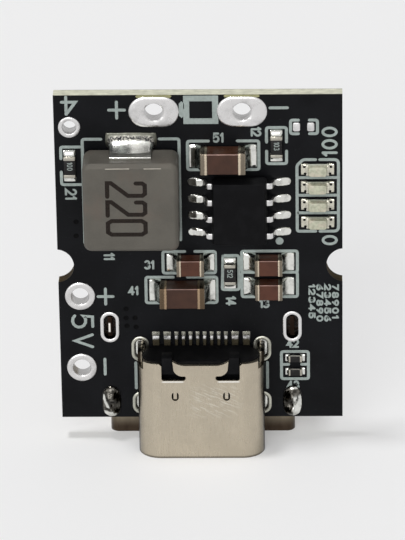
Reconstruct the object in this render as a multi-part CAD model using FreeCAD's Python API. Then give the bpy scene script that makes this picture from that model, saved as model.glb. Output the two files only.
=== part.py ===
"""Power bank module: a small black circuit board that stands upright on the mouths of its two connectors.

Sizes are in millimetres. Each piece is first made with the board lying flat: x runs across the board,
y runs up it from its lower edge, and z points out of its front face, so the back face is at
z = -board_thickness. At the end every piece is stood up: +Z is then up the board, the front face looks
to -Y, and the origin is on the surface that the mouths stand on, under the middle of the module.
"""
import FreeCAD, Part
import math
import os

from FreeCAD import Vector

# Board
board_width = 20.0
board_height = 24.85
board_thickness = 1.0
mouth_overhang = 1.7
notch_radius = 1.28
notch_outset = 0.15
notch_height = 11.88

# Copper on the board
pad_thickness = 0.05
plating_wall = 0.05

# How far a cutter reaches past what it cuts
overcut = 1.0

# Flats per quarter turn on round outlines that are too small for their curve to be seen
pad_flat_count = 5
small_flat_count = 3
bend_flat_count = 2

# Battery wire terminals, a pair near the top edge
battery_hole_radius = 0.65
battery_pad_width = 3.5
battery_pad_length = 2.25
battery_spacing = 6.1
battery_edge_distance = 1.27

# Output wire terminals, a pair near the left edge
output_hole_radius = 0.63
output_pad_radius = 1.07
output_side_distance = 1.5
output_minus_height = 3.95
output_spacing = 5.59

# Key wire terminal, at the top left corner
key_hole_radius = 0.475
key_pad_radius = 0.78
key_side_distance = 1.07
key_edge_distance = 2.38

# Charging inlet, an oval reversible receptacle on the front face
inlet_width = 8.94
inlet_height = 3.16
inlet_wall = 0.3
inlet_rear = 5.68
inlet_waist = 5.56
inlet_tab_half_width = 1.97
inlet_hook_outer = 2.76
inlet_hook_inner = 1.05
inlet_hook_front = 4.4
inlet_hook_depth = 0.35
inlet_hook_shoulder = 0.45
inlet_dimple_x = 1.81
inlet_dimple_y = 3.17
inlet_dimple_width = 0.5
inlet_dimple_length = 0.7
inlet_dimple_tab = 0.24
inlet_block_front = 4.75
inlet_block_rear = 5.75
inlet_clearance = 0.03
inlet_side_setback = 0.6
inlet_roof = 0.5
inlet_window_depth = 0.42
inlet_window_drop = 0.3
inlet_window_margin = 0.1
inlet_ear_low = 0.8
inlet_ear_high = 0.1
inlet_ear_overlap = 0.65
inlet_post_reach = 0.4
inlet_post_depth = 1.0
inlet_post_gap = 0.05
inlet_foot_inset = 0.65
inlet_tongue_corner = 0.45
inlet_bite = 0.5
inlet_root_inset = 0.5
inlet_root_length = 1.2
inlet_root_step = 0.22
inlet_front_leg_y = 1.15
inlet_rear_leg_y = 5.4
inlet_leg_width = 0.95
inlet_leg_shortfall = 0.05
inlet_slot_width = 0.72
inlet_front_slot_length = 1.2
inlet_rear_slot_length = 1.4
inlet_slot_land = 0.28
inlet_tongue_width = 6.69
inlet_tongue_thickness = 0.7
inlet_tongue_setback = 0.7
inlet_notch_setback = 1.5
inlet_notch_width = 0.5
inlet_notch_length = 0.9
inlet_notch_radius = 0.2
inlet_plate_thickness = 0.16
inlet_plate_setback = 0.15
inlet_plate_corner = 0.4
inlet_plate_bite = 0.3
inlet_contact_proud = 0.02
inlet_contact_nose = 0.35
inlet_upper_drop = 0.3
inlet_lower_drop = 0.55
inlet_web_length = 0.2
inlet_contact_thickness = 0.15
inlet_tail_reach = 0.75
inlet_signal_pitch = 0.5
inlet_signal_count = 8
inlet_signal_width = 0.22
inlet_power_tails = (2.4, 3.2)
inlet_power_blades = (2.2, 2.8)
inlet_power_width = 0.48
inlet_peg_radius = 0.3
inlet_peg_x = 2.89
inlet_peg_y = 5.2
inlet_peg_shortfall = 0.1
inlet_fill_level = -0.12
inlet_tail_pad_start = 0.15
inlet_tail_pad_end = 0.25
inlet_tail_pad_margin = 0.03

# Output socket, a rectangular receptacle on the back face
outlet_width = 13.2
outlet_height = 5.75
outlet_wall = 0.3
outlet_length = 10.1
outlet_lift = 0.1
outlet_corner = 0.6
outlet_front_leg_y = 1.27
outlet_rear_leg_y = 7.12
outlet_leg_width = 1.5
outlet_leg_shortfall = 0.1
outlet_slot_width = 0.85
outlet_slot_length = 1.88
outlet_slot_land = 0.25
outlet_tongue_side_gap = 0.75
outlet_tongue_thickness = 1.84
outlet_tongue_setback = 0.8
outlet_tongue_offset = 0.05
outlet_block_length = 2.2
outlet_contact_thickness = 0.25
outlet_contact_width = 1.0
outlet_tail_width = 0.7
outlet_tail_reach = 1.8
outlet_contact_xs = (-3.5, -1.0, 1.0, 3.5)
outlet_bow = 0.5
outlet_spring_width = 1.9
outlet_spring_length = 4.8
outlet_spring_x = 2.9
outlet_spring_gap = 0.35
outlet_spring_root = 6.4
outlet_flap_inset = 0.75
outlet_flap_share = 0.55
outlet_tail_room = 0.9
outlet_contact_proud = 0.03
outlet_contact_nose = 0.6
outlet_contact_bow = (1.0, 2.2, 3.6)
outlet_contact_drop = 0.45
outlet_contact_bend = 0.3
outlet_fit = 0.03
outlet_nose_chamfer = 0.3
outlet_side_margin = 1.65
outlet_foot_length = 0.8
outlet_bite = 0.5
outlet_dome = ((0.05, 1.0), (0.3, 0.86), (0.5, 0.62), (0.62, 0.3))
outlet_dome_margin = 0.05
outlet_tail_pad_margin = 0.15
outlet_tail_pad_start = 0.2
outlet_tail_pad_end = 0.3

# Inductor
inductor_x = -4.66
inductor_y = 17.6
inductor_width = 6.62
inductor_length = 6.62
inductor_height = 3.0
inductor_corner = 0.55
inductor_edge = 0.25
inductor_low_edge = 0.12
inductor_strip_width = 2.9
inductor_strip_thickness = 0.2
inductor_strip_height = 2.2
inductor_strip_bend = 0.14
inductor_climb = 1.55
inductor_foot = 1.6
inductor_pad_width = 3.6
inductor_pad_reach = 0.95

# Converter chip with four leads a side
chip_x = 2.82
chip_y = 16.42
chip_width = 3.9
chip_length = 4.9
chip_height = 1.5
chip_standoff = 0.1
chip_draft = 0.16
chip_corner = 0.06
lead_pitch = 1.27
lead_rows = 4
lead_span = 6.0
lead_width = 0.42
lead_thickness = 0.2
lead_foot = 0.6
lead_slope = 0.16
lead_bend = 0.16
lead_buried = 0.35
lead_pad_margin = 0.1
lead_pad_reach = 0.6

# Chip parts: length, width and height of each case size, and the reach and width of its pads
size_1206 = (3.15, 1.6, 1.6)
size_0805 = (1.92, 1.25, 1.25)
size_0603 = (1.6, 0.85, 0.45)
size_0402 = (1.0, 0.5, 0.35)
pad_1206 = (0.8, 1.76)
pad_0805 = (0.76, 1.44)
pad_0603 = (0.44, 0.95)
pad_0402 = (0.25, 0.6)
cap_share = 0.16
cap_skin = 0.04
cap_edge = 0.05
seat_share = 1.25
capacitor_climb_share = 0.62
resistor_climb_share = 0.8

# Places of the chip parts: case size, pads, x, y and turn
capacitor_places = {
    "capacitor_1": (size_0805, pad_0805, 4.82, 10.3, 0),
    "capacitor_2": (size_0805, pad_0805, 4.82, 12.17, 0),
    "capacitor_3": (size_0805, pad_0805, -0.66, 12.17, 0),
    "capacitor_4": (size_1206, pad_1206, -1.26, 10.02, 0),
    "capacitor_5": (size_1206, pad_1206, 1.7, 20.27, 0),
}
resistor_places = {
    "resistor_1": (size_0603, pad_0603, 5.42, 21.05, 90),
    "resistor_2": (size_0603, pad_0603, -8.95, 19.6, 90),
    "resistor_3": (size_0603, pad_0603, 2.09, 11.33, 90),
    "resistor_4": (size_0402, pad_0402, 6.64, 4.68, 0),
    "resistor_5": (size_0402, pad_0402, 6.64, 3.62, 0),
}
resistor_coat = 0.04

# Status lights, a column near the right edge
light_count = 4
light_x = 8.27
light_top_y = 19.25
light_pitch = 1.34
light_length = 1.6
light_width = 0.8
light_base_height = 0.25
light_lens_length = 1.26
light_lens_height = 0.42
light_lens_draft = 0.07
light_lens_corner = 0.1
light_end_length = 0.17
light_pad_reach = 0.42

# Spare pads with no part on them
spare_pad_size = (0.5, 0.65)
spare_pad_xs = (6.82, 7.81)
spare_pad_y = 22.42
spare_pad_corner = 0.12
spare_pad_height = 0.08

back_face = -board_thickness
inlet_mouth = -mouth_overhang
outlet_mouth = -mouth_overhang
inlet_middle = inlet_height / 2
outlet_rear = outlet_mouth + outlet_length
front_face_y = (inlet_height - board_thickness - outlet_lift - outlet_height) / 2
inlet_leg_x = inlet_width / 2 - inlet_wall / 2
outlet_leg_x = outlet_width / 2 - outlet_wall / 2
outlet_tongue_width = outlet_width - 2 * (outlet_wall + outlet_tongue_side_gap)


# Basic forms
def block(x_low, x_high, y_low, y_high, z_low, z_high):
    return Part.makeBox(x_high - x_low, y_high - y_low, z_high - z_low, Vector(x_low, y_low, z_low))


def cylinder(x, y, radius, z_low, z_high):
    return Part.makeCylinder(radius, z_high - z_low, Vector(x, y, z_low))


def line(start, end):
    return Part.LineSegment(start, end).toShape()


def arc(start, middle, end):
    return Part.Arc(start, middle, end).toShape()


def polar(radius, degrees):
    return Vector(radius * math.cos(math.radians(degrees)), radius * math.sin(math.radians(degrees)), 0)


def joined(points):
    """Straight edges through the points in turn, leaving out those of no length."""
    pairs = zip(points, points[1:])
    return [line(start, end) for start, end in pairs if start.distanceToPoint(end) > 1e-6]


def rounded_face(width, length, radius, flats=0):
    """A rectangle with round corners, centred on the origin. A radius of half the width gives a slot.

    Its corners are true arcs, or where flats is given, that many flats each.
    """
    centres = [
        Vector(sign_x * (width / 2 - radius), sign_y * (length / 2 - radius), 0)
        for sign_x, sign_y in ((1, 1), (-1, 1), (-1, -1), (1, -1))
    ]
    steps = flats or 2
    corners = [
        [centre + polar(radius, quadrant * 90 + 90 * step / steps) for step in range(steps + 1)]
        for quadrant, centre in enumerate(centres)
    ]
    edges = []
    for index, corner in enumerate(corners):
        edges += [arc(*corner)] if flats == 0 else joined(corner)
        edges += joined([corner[-1], corners[(index + 1) % 4][0]])
    return Part.Face(Part.Wire(edges))


def rounded_block(x, y, width, length, radius, z_low, z_high, flats=0):
    solid = rounded_face(width, length, radius, flats).extrude(Vector(0, 0, z_high - z_low))
    solid.translate(Vector(x, y, z_low))
    return solid


def slot_block(x, y, width, length, z_low, z_high, flats=0):
    return rounded_block(x, y, width, length, min(width, length) / 2, z_low, z_high, flats)


def tube_along_y(width, height, radius, y_low, y_high, z_middle, flats=0):
    """A bar with round corners that runs up the board, such as the outside of a connector."""
    bar = rounded_face(width, height, radius, flats).extrude(Vector(0, 0, y_high - y_low))
    bar.rotate(Vector(0, 0, 0), Vector(1, 0, 0), 90)
    bar.translate(Vector(0, y_high, z_middle))
    return bar


def strip_face(points, thickness, bend):
    """The side view of a sheet strip that follows a path, with each corner bent to the same radius."""
    half = thickness / 2
    path = [Vector(u, v, 0) for u, v in points]
    sides = {1: [], -1: []}
    for index, point in enumerate(path):
        before = (point - path[index - 1]).normalize() if index else None
        after = (path[index + 1] - point).normalize() if index + 1 < len(path) else None
        if before is None or after is None:
            along = after or before
            normal = Vector(-along.y, along.x, 0)
            for side in sides:
                sides[side].append(point + normal * (half * side))
            continue
        turn = math.atan2(before.x * after.y - before.y * after.x, before.dot(after))
        hand = 1 if turn > 0 else -1
        normal = Vector(-before.y, before.x, 0) * hand
        start = point - before * (bend * math.tan(abs(turn) / 2))
        centre = start + normal * bend
        from_angle = math.degrees(math.atan2(-normal.y, -normal.x))
        for side in sides:
            radius = bend - hand * half * side
            for step in range(bend_flat_count + 1):
                angle = from_angle + math.degrees(turn) * step / bend_flat_count
                sides[side].append(centre + polar(radius, angle))
    outline = sides[1] + sides[-1][::-1]
    return Part.Face(Part.makePolygon(outline + outline[:1]))


def along_x(face, x, width):
    """Turns a side view drawn as (y, z) into a solid of the given width, centred on x."""
    solid = face.extrude(Vector(0, 0, width))
    solid.rotate(Vector(0, 0, 0), Vector(1, 1, 1), 120)
    solid.translate(Vector(x - width / 2, 0, 0))
    return solid


def along_y(face, y, width):
    """Turns a front view drawn as (x, z) into a solid of the given width, centred on y."""
    solid = face.extrude(Vector(0, 0, width))
    solid.rotate(Vector(0, 0, 0), Vector(1, 0, 0), 90)
    solid.translate(Vector(0, y + width / 2, 0))
    return solid


def fuse(first, *others):
    return first.fuse(list(others)).removeSplitter()


def cut(solid, *tools):
    return solid.cut(list(tools)).removeSplitter()


def mirrored(solid):
    """The same piece on the other side of the board's middle."""
    return solid.mirror(Vector(0, 0, 0), Vector(1, 0, 0))


def both_sides(solid):
    return [solid, mirrored(solid)]


def turned(solid, x, y, angle):
    copy = solid.copy()
    copy.rotate(Vector(0, 0, 0), Vector(0, 0, 1), angle)
    copy.translate(Vector(x, y, 0))
    return copy


# Board with its holes
def plated_wall(outline_width, outline_length, x, y):
    """The hole in the board that holds a plated wall of this opening."""
    return slot_block(x, y, outline_width + 2 * plating_wall, outline_length + 2 * plating_wall,
                      back_face - overcut, overcut, small_flat_count)


def terminal_places():
    """Name, x, y, hole radius, pad width and pad length of each wire terminal."""
    battery_y = board_height - battery_edge_distance
    output_x = -board_width / 2 + output_side_distance
    key_x = -board_width / 2 + key_side_distance
    battery = (battery_y, battery_hole_radius, battery_pad_width, battery_pad_length)
    output = (output_hole_radius, 2 * output_pad_radius, 2 * output_pad_radius)
    return [
        ("battery_plus_terminal", -battery_spacing / 2, *battery),
        ("battery_minus_terminal", battery_spacing / 2, *battery),
        ("output_plus_terminal", output_x, output_minus_height + output_spacing, *output),
        ("output_minus_terminal", output_x, output_minus_height, *output),
        ("key_terminal", key_x, board_height - key_edge_distance, key_hole_radius,
         2 * key_pad_radius, 2 * key_pad_radius),
    ]


def leg_slots():
    """Group, x, y, slot width, slot length and land width of each plated slot for a connector's leg."""
    places = []
    for side in (-1, 1):
        inlet_legs = (
            (inlet_front_leg_y, inlet_front_slot_length),
            (inlet_rear_leg_y, inlet_rear_slot_length),
        )
        for y, length in inlet_legs:
            x = side * inlet_leg_x
            places.append(("inlet_leg_slots", x, y, inlet_slot_width, length, inlet_slot_land))
        for y in (outlet_front_leg_y, outlet_rear_leg_y):
            x = side * outlet_leg_x
            places.append(("outlet_leg_slots", x, y, outlet_slot_width, outlet_slot_length, outlet_slot_land))
    return places


def make_board():
    plate = block(-board_width / 2, board_width / 2, 0, board_height, back_face, 0)
    holes = []
    low = back_face - overcut
    for side in (-1, 1):
        notch_x = side * (board_width / 2 + notch_outset)
        holes.append(cylinder(notch_x, notch_height, notch_radius, low, overcut))
        socket = 2 * (inlet_peg_radius + inlet_clearance)
        peg_x = side * inlet_peg_x
        holes.append(slot_block(peg_x, inlet_peg_y, socket, socket, low, overcut, small_flat_count))
    for name, x, y, hole_radius, pad_width, pad_length in terminal_places():
        holes.append(plated_wall(2 * hole_radius, 2 * hole_radius, x, y))
    for group, x, y, slot_width, slot_length, land in leg_slots():
        holes.append(plated_wall(slot_width, slot_length, x, y))
    return cut(plate, *holes)


def plated_opening(x, y, opening, opening_width, opening_length, pad_width, pad_length, flats):
    """Copper round an opening: a pad on each face of the board, joined by the plated wall of the hole."""
    front = slot_block(x, y, pad_width, pad_length, 0, pad_thickness, flats)
    rear = slot_block(x, y, pad_width, pad_length, back_face - pad_thickness, back_face, flats)
    wall = slot_block(x, y, opening_width + 2 * plating_wall, opening_length + 2 * plating_wall,
                      back_face, 0, small_flat_count)
    return cut(fuse(front, rear, wall), opening)


def make_terminals():
    nodes = {}
    for name, x, y, radius, pad_width, pad_length in terminal_places():
        opening = cylinder(x, y, radius, back_face - overcut, overcut)
        bore = 2 * radius
        nodes[name] = [plated_opening(x, y, opening, bore, bore, pad_width, pad_length, pad_flat_count)]
    return nodes


def make_leg_slots():
    groups = {"inlet_leg_slots": [], "outlet_leg_slots": []}
    for group, x, y, width, length, land in leg_slots():
        opening = slot_block(x, y, width, length, back_face - overcut, overcut, small_flat_count)
        pad = (width + 2 * land, length + 2 * land)
        groups[group].append(plated_opening(x, y, opening, width, length, *pad, small_flat_count))
    return groups


# Charging inlet
def inlet_rear_trim():
    """What is punched out of the shell's top at its rear, with a hooked slot on each side of the tab."""
    hook_rear = inlet_hook_front + inlet_hook_depth
    shoulder = Vector(inlet_tab_half_width - 0.07, hook_rear + inlet_hook_shoulder, 0)
    corner = Vector(inlet_tab_half_width, inlet_rear + 0.2, 0)
    waist = Vector(0.6 * inlet_tab_half_width, inlet_waist, 0)
    round_low = 0.12
    far = inlet_rear + 2 * overcut
    points = [
        Vector(inlet_width, far, 0),
        Vector(inlet_width, inlet_rear, 0),
        Vector(inlet_hook_outer + 0.15, inlet_rear, 0),
        Vector(inlet_hook_outer, inlet_rear - 0.15, 0),
        Vector(inlet_hook_outer, inlet_hook_front + round_low, 0),
        Vector(inlet_hook_outer - round_low, inlet_hook_front, 0),
        Vector(inlet_hook_inner + round_low, inlet_hook_front, 0),
        Vector(inlet_hook_inner, inlet_hook_front + round_low, 0),
        Vector(inlet_hook_inner, hook_rear - 0.05, 0),
        Vector(inlet_hook_inner + 0.1, hook_rear, 0),
    ]
    edges = [line(points[index], points[index + 1]) for index in range(len(points) - 1)]
    bulge = Vector(inlet_tab_half_width - 0.25, hook_rear + 0.17, 0)
    edges.append(arc(points[-1], bulge, shoulder))
    edges.append(line(shoulder, corner))
    edges.append(arc(corner, (corner + waist) * 0.5 - Vector(0, 0.06, 0), waist))
    edges.append(line(waist, Vector(0, inlet_waist, 0)))
    edges.append(line(Vector(0, inlet_waist, 0), Vector(0, far, 0)))
    edges.append(line(Vector(0, far, 0), points[0]))
    punch = Part.Face(Part.Wire(edges)).extrude(Vector(0, 0, inlet_height))
    punch.translate(Vector(0, 0, inlet_middle))
    return both_sides(punch)


def inlet_dimple_slot():
    """The U-shaped slot round a small tab that presses on the plug."""
    low = inlet_middle
    high = inlet_height + overcut
    outer = slot_block(inlet_dimple_x, inlet_dimple_y, inlet_dimple_width, inlet_dimple_length, low, high,
                       small_flat_count)
    half_tab = inlet_dimple_tab / 2
    tab = block(inlet_dimple_x - half_tab, inlet_dimple_x + half_tab,
                inlet_dimple_y - inlet_dimple_length / 3.5, inlet_dimple_y + inlet_dimple_length, low, high)
    return both_sides(outer.cut(tab))


def make_inlet_shell():
    ear_rear = inlet_rear_leg_y + inlet_leg_width / 2
    outer = tube_along_y(inlet_width, inlet_height, inlet_height / 2, inlet_mouth, ear_rear, inlet_middle)
    inner_height = inlet_height - 2 * inlet_wall
    inner = tube_along_y(inlet_width - 2 * inlet_wall, inner_height, inner_height / 2,
                         inlet_mouth - overcut, ear_rear + overcut, inlet_middle)
    half = inlet_width / 2
    wall_inside = half - inlet_wall
    side_end = inlet_rear - inlet_side_setback
    window = block(half - inlet_window_depth, half + overcut, side_end, ear_rear + overcut,
                   -overcut, inlet_height - inlet_roof)
    floor_end = block(-half, half, inlet_block_front, ear_rear + overcut, -overcut, inlet_middle)
    half_window = inlet_leg_width / 2 + inlet_window_margin
    front_window = block(half - inlet_window_depth, half + overcut, inlet_front_leg_y - half_window,
                         inlet_front_leg_y + half_window, -overcut, inlet_middle - inlet_window_drop)
    cutters = [inner, floor_end, *inlet_rear_trim(), *inlet_dimple_slot()]
    cutters += both_sides(window) + both_sides(front_window)
    leg_tip = back_face + inlet_leg_shortfall
    leg_top = inlet_middle - inlet_ear_high
    additions = [block(wall_inside, half, side_end - inlet_ear_overlap, ear_rear,
                       inlet_middle - inlet_ear_low, leg_top)]
    for leg_y in (inlet_front_leg_y, inlet_rear_leg_y):
        additions.append(block(wall_inside, half, leg_y - inlet_leg_width / 2, leg_y + inlet_leg_width / 2,
                               leg_tip, leg_top))
    shell = cut(outer, *cutters)
    return [fuse(shell, *[piece for solid in additions for piece in both_sides(solid)])]


def inlet_contact(tail_x, blade_x, width, upper):
    """A contact whose blade lies on the tongue, goes down inside the block and comes out as a tail."""
    half_tongue = inlet_tongue_thickness / 2
    reach = half_tongue + inlet_contact_proud - inlet_contact_thickness / 2
    blade_z = inlet_middle + reach if upper else inlet_middle - reach
    drop_y = inlet_block_rear - (inlet_upper_drop if upper else inlet_lower_drop)
    nose_y = inlet_mouth + inlet_tongue_setback + inlet_contact_nose
    tail_z = pad_thickness + inlet_contact_thickness / 2
    tail_end = inlet_block_rear + inlet_tail_reach
    bend = inlet_contact_thickness
    if abs(tail_x - blade_x) < 1e-6:
        path = [(nose_y, blade_z), (drop_y, blade_z), (drop_y, tail_z), (tail_end, tail_z)]
        return along_x(strip_face(path, inlet_contact_thickness, bend), tail_x, width)
    web_y = drop_y - inlet_web_length
    blade = along_x(strip_face([(nose_y, blade_z), (web_y, blade_z)], inlet_contact_thickness, bend),
                    blade_x, inlet_signal_width)
    web_low = min(blade_x - inlet_signal_width / 2, tail_x - width / 2)
    web_high = max(blade_x + inlet_signal_width / 2, tail_x + width / 2)
    web = block(web_low, web_high, web_y - inlet_web_length, web_y,
                blade_z - inlet_contact_thickness / 2, blade_z + inlet_contact_thickness / 2)
    drop = along_x(strip_face([(web_y, blade_z), (drop_y, blade_z), (drop_y, tail_z), (tail_end, tail_z)],
                              inlet_contact_thickness, bend), tail_x, width)
    return fuse(blade, web, drop)


def make_inlet_contacts():
    signal = []
    for index in range(inlet_signal_count):
        x = (index - (inlet_signal_count - 1) / 2) * inlet_signal_pitch
        signal.append(inlet_contact(x, x, inlet_signal_width, index % 2 == 1))
    power = []
    for tail_x, blade_x in zip(inlet_power_tails, inlet_power_blades):
        power += both_sides(inlet_contact(tail_x, blade_x, inlet_power_width, True))
    return signal, power


def inlet_tongue_notch(thickness):
    notch_y = inlet_mouth + inlet_tongue_setback + inlet_notch_setback
    edge = inlet_tongue_width / 2
    notch = rounded_block(edge, notch_y, inlet_notch_width, inlet_notch_length, inlet_notch_radius,
                          inlet_middle - thickness, inlet_middle + thickness, small_flat_count)
    return both_sides(notch)


def make_inlet_mid_plate():
    nose = inlet_mouth + inlet_tongue_setback + inlet_plate_setback
    rear = inlet_block_front + inlet_plate_bite
    half = inlet_plate_thickness / 2
    plate = rounded_block(0, (nose + rear) / 2, inlet_tongue_width, rear - nose, inlet_plate_corner,
                          inlet_middle - half, inlet_middle + half, small_flat_count)
    return [cut(plate, *inlet_tongue_notch(inlet_plate_thickness))]


def make_inlet_housing(contacts, mid_plate):
    """The moulded block that closes the shell's rear, with its tongue, posts and locating pegs."""
    fit = inlet_clearance
    inner_height = inlet_height - 2 * inlet_wall - 2 * fit
    inner_width = inlet_width - 2 * inlet_wall - 2 * fit
    half = inner_width / 2
    body = tube_along_y(inner_width, inner_height, inner_height / 2, inlet_block_front, inlet_block_rear,
                        inlet_middle, pad_flat_count)
    half_foot = half - inlet_foot_inset
    foot = block(-half_foot, half_foot, inlet_block_front, inlet_block_rear, 0, inlet_middle)
    nose = inlet_mouth + inlet_tongue_setback
    half_tongue = inlet_tongue_thickness / 2
    tongue_end = inlet_block_front + inlet_bite
    tongue = rounded_block(0, (nose + tongue_end) / 2, inlet_tongue_width, tongue_end - nose,
                           inlet_tongue_corner, inlet_middle - half_tongue, inlet_middle + half_tongue,
                           small_flat_count)
    tongue = cut(tongue, *inlet_tongue_notch(inlet_tongue_thickness))
    half_root = half - inlet_root_inset
    half_step = half_tongue + inlet_root_step
    root = block(-half_root, half_root, inlet_block_front - inlet_root_length, tongue_end,
                 inlet_middle - half_step, inlet_middle + half_step)
    pieces = [foot, tongue, root]
    post = block(inlet_tab_half_width + inlet_post_gap, inlet_hook_outer - inlet_post_gap,
                 inlet_block_rear - inlet_bite, inlet_block_rear + inlet_post_reach,
                 inlet_height - inlet_post_depth, inlet_height)
    peg = slot_block(inlet_peg_x, inlet_peg_y, 2 * inlet_peg_radius, 2 * inlet_peg_radius,
                     back_face + inlet_peg_shortfall, inlet_bite, small_flat_count)
    for solid in (post, peg):
        pieces += both_sides(solid)
    return [cut(fuse(body, *pieces), *contacts, *mid_plate)]


def make_inlet_leg_solder(shell):
    """Solder that fills the plated slots round the shell's legs."""
    fills = []
    for group, x, y, width, length, land in leg_slots():
        if group == "inlet_leg_slots":
            fill = slot_block(x, y, width, length, back_face + inlet_leg_shortfall, inlet_fill_level,
                              small_flat_count)
            fills.append(cut(fill, *shell))
    return fills


def make_inlet_tail_solder():
    """A pad with a low meniscus under each tail."""
    solder = []
    start = inlet_block_rear + inlet_tail_pad_start
    end = inlet_block_rear + inlet_tail_reach + inlet_tail_pad_end
    tails = [((index - (inlet_signal_count - 1) / 2) * inlet_signal_pitch, inlet_signal_width)
             for index in range(inlet_signal_count)]
    tails += [(side * x, inlet_power_width) for side in (-1, 1) for x in inlet_power_tails]
    for x, width in tails:
        half = width / 2 + inlet_tail_pad_margin
        solder.append(block(x - half, x + half, start, end, 0, pad_thickness))
    return solder


# Output socket, on the back face
def behind(distance):
    """The z of a point this far behind the board's back face."""
    return back_face - distance


def outlet_spring_window(x, y_root):
    """The slot cut round a spring leaf in one of the shell's broad sides, open to the leaf's root."""
    gap = outlet_spring_gap
    half = outlet_spring_width / 2
    outer = block(x - half - gap, x + half + gap, y_root - outlet_spring_length - gap, y_root,
                  -overcut, overcut)
    leaf = block(x - half, x + half, y_root - outlet_spring_length, y_root + overcut, -overcut, overcut)
    return outer.cut(leaf)


def make_outlet_shell():
    middle = behind(outlet_lift + outlet_height / 2)
    outer = tube_along_y(outlet_width, outlet_height, outlet_corner, outlet_mouth, outlet_rear, middle)
    inner = tube_along_y(outlet_width - 2 * outlet_wall, outlet_height - 2 * outlet_wall,
                         outlet_corner - outlet_wall, outlet_mouth - overcut, outlet_rear + overcut, middle,
                         small_flat_count)
    far_side = behind(outlet_lift + outlet_height)
    near_side = behind(outlet_lift)
    half_wall = outlet_wall / 2
    spring_root = outlet_mouth + outlet_spring_root
    cutters = [inner]
    for side in (-1, 1):
        window = outlet_spring_window(side * outlet_spring_x, spring_root)
        for face in (far_side + half_wall, near_side - half_wall):
            placed = window.copy()
            placed.translate(Vector(0, 0, face))
            cutters.append(placed)
    half = outlet_width / 2
    half_room = half - outlet_side_margin
    tail_room = block(-half_room, half_room, outlet_rear - outlet_tail_room, outlet_rear + overcut,
                      behind(outlet_lift + outlet_wall), 0)
    cutters.append(tail_room)
    shell = cut(outer, *cutters)
    flap = block(-half + outlet_flap_inset, half - outlet_flap_inset, outlet_rear - outlet_wall, outlet_rear,
                 far_side + half_wall, far_side + outlet_flap_share * outlet_height)
    legs = []
    for leg_y in (outlet_front_leg_y, outlet_rear_leg_y):
        leg = block(half - outlet_wall, half, leg_y - outlet_leg_width / 2, leg_y + outlet_leg_width / 2,
                    behind(outlet_lift + 2 * outlet_corner), -outlet_leg_shortfall)
        legs += both_sides(leg)
    return [fuse(shell, flap, *legs)]


def outlet_tongue_near():
    """The z of the tongue's face that carries the contacts."""
    return behind(outlet_lift + outlet_height / 2 + outlet_tongue_offset)


def outlet_contact(x):
    """A contact that bows out of the tongue near the mouth and ends in a tail behind the shell."""
    blade_z = outlet_tongue_near() - outlet_contact_thickness / 2 + outlet_contact_proud
    nose = outlet_mouth + outlet_tongue_setback + outlet_contact_nose
    bow_start, bow_top, bow_end = outlet_contact_bow
    drop_y = outlet_rear - outlet_wall - outlet_contact_drop
    tail_z = behind(pad_thickness + outlet_contact_thickness / 2)
    tail_end = outlet_rear + outlet_tail_reach
    path = [
        (nose, blade_z),
        (nose + bow_start, blade_z),
        (nose + bow_top, blade_z + outlet_bow),
        (nose + bow_end, blade_z),
        (drop_y, blade_z),
        (drop_y, tail_z),
        (tail_end, tail_z),
    ]
    whole = along_x(strip_face(path, outlet_contact_thickness, outlet_contact_bend), x, outlet_contact_width)
    half = outlet_tail_width / 2
    low = behind(outlet_height)
    start = outlet_rear - outlet_wall
    end = tail_end + overcut
    return cut(whole, block(x - outlet_contact_width, x - half, start, end, low, 0),
               block(x + half, x + outlet_contact_width, start, end, low, 0))


def make_outlet_housing(contacts):
    near = outlet_tongue_near()
    far = near - outlet_tongue_thickness
    nose = outlet_mouth + outlet_tongue_setback
    rear = outlet_rear - outlet_wall - outlet_fit
    front = rear - outlet_block_length
    tongue = block(-outlet_tongue_width / 2, outlet_tongue_width / 2, nose, front + outlet_bite, far, near)
    nose_edges = [edge for edge in tongue.Edges
                  if abs(edge.BoundBox.YMin - nose) < 1e-6 and edge.BoundBox.YLength < 1e-6]
    tongue = tongue.makeChamfer(outlet_nose_chamfer, nose_edges)
    middle = behind(outlet_lift + outlet_height / 2)
    inset = 2 * (outlet_wall + outlet_fit)
    body = tube_along_y(outlet_width - inset, outlet_height - inset, outlet_corner - outlet_wall, front, rear,
                        middle, small_flat_count)
    half_foot = outlet_width / 2 - outlet_side_margin - outlet_fit
    foot = block(-half_foot, half_foot, outlet_rear - outlet_foot_length, rear, middle, behind(pad_thickness))
    return [cut(fuse(body, tongue, foot), *contacts)]


def make_outlet_leg_solder(shell):
    """Solder domes over the two lower legs, whose slots they fill."""
    domes = []
    for side in (-1, 1):
        x = side * outlet_leg_x
        width = outlet_slot_width + 2 * (outlet_slot_land - outlet_dome_margin)
        length = outlet_slot_length + 2 * (outlet_slot_land - outlet_dome_margin)
        sections = []
        for height, share in outlet_dome:
            wire = rounded_face(width * share, length * share, width * share / 2, small_flat_count).OuterWire
            wire.translate(Vector(x, outlet_front_leg_y, height))
            sections.append(wire)
        dome = Part.makeLoft(sections, True, True)
        fill = slot_block(x, outlet_front_leg_y, outlet_slot_width, outlet_slot_length,
                          back_face + outlet_leg_shortfall, pad_thickness, small_flat_count)
        domes.append(cut(fuse(dome, fill), *shell))
    return domes


def make_outlet_tail_solder():
    pads = []
    for x in outlet_contact_xs:
        half = outlet_tail_width / 2 + outlet_tail_pad_margin
        end = outlet_rear + outlet_tail_reach + outlet_tail_pad_end
        pads.append(block(x - half, x + half, outlet_rear + outlet_tail_pad_start, end,
                          behind(pad_thickness), back_face))
    return pads


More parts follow.
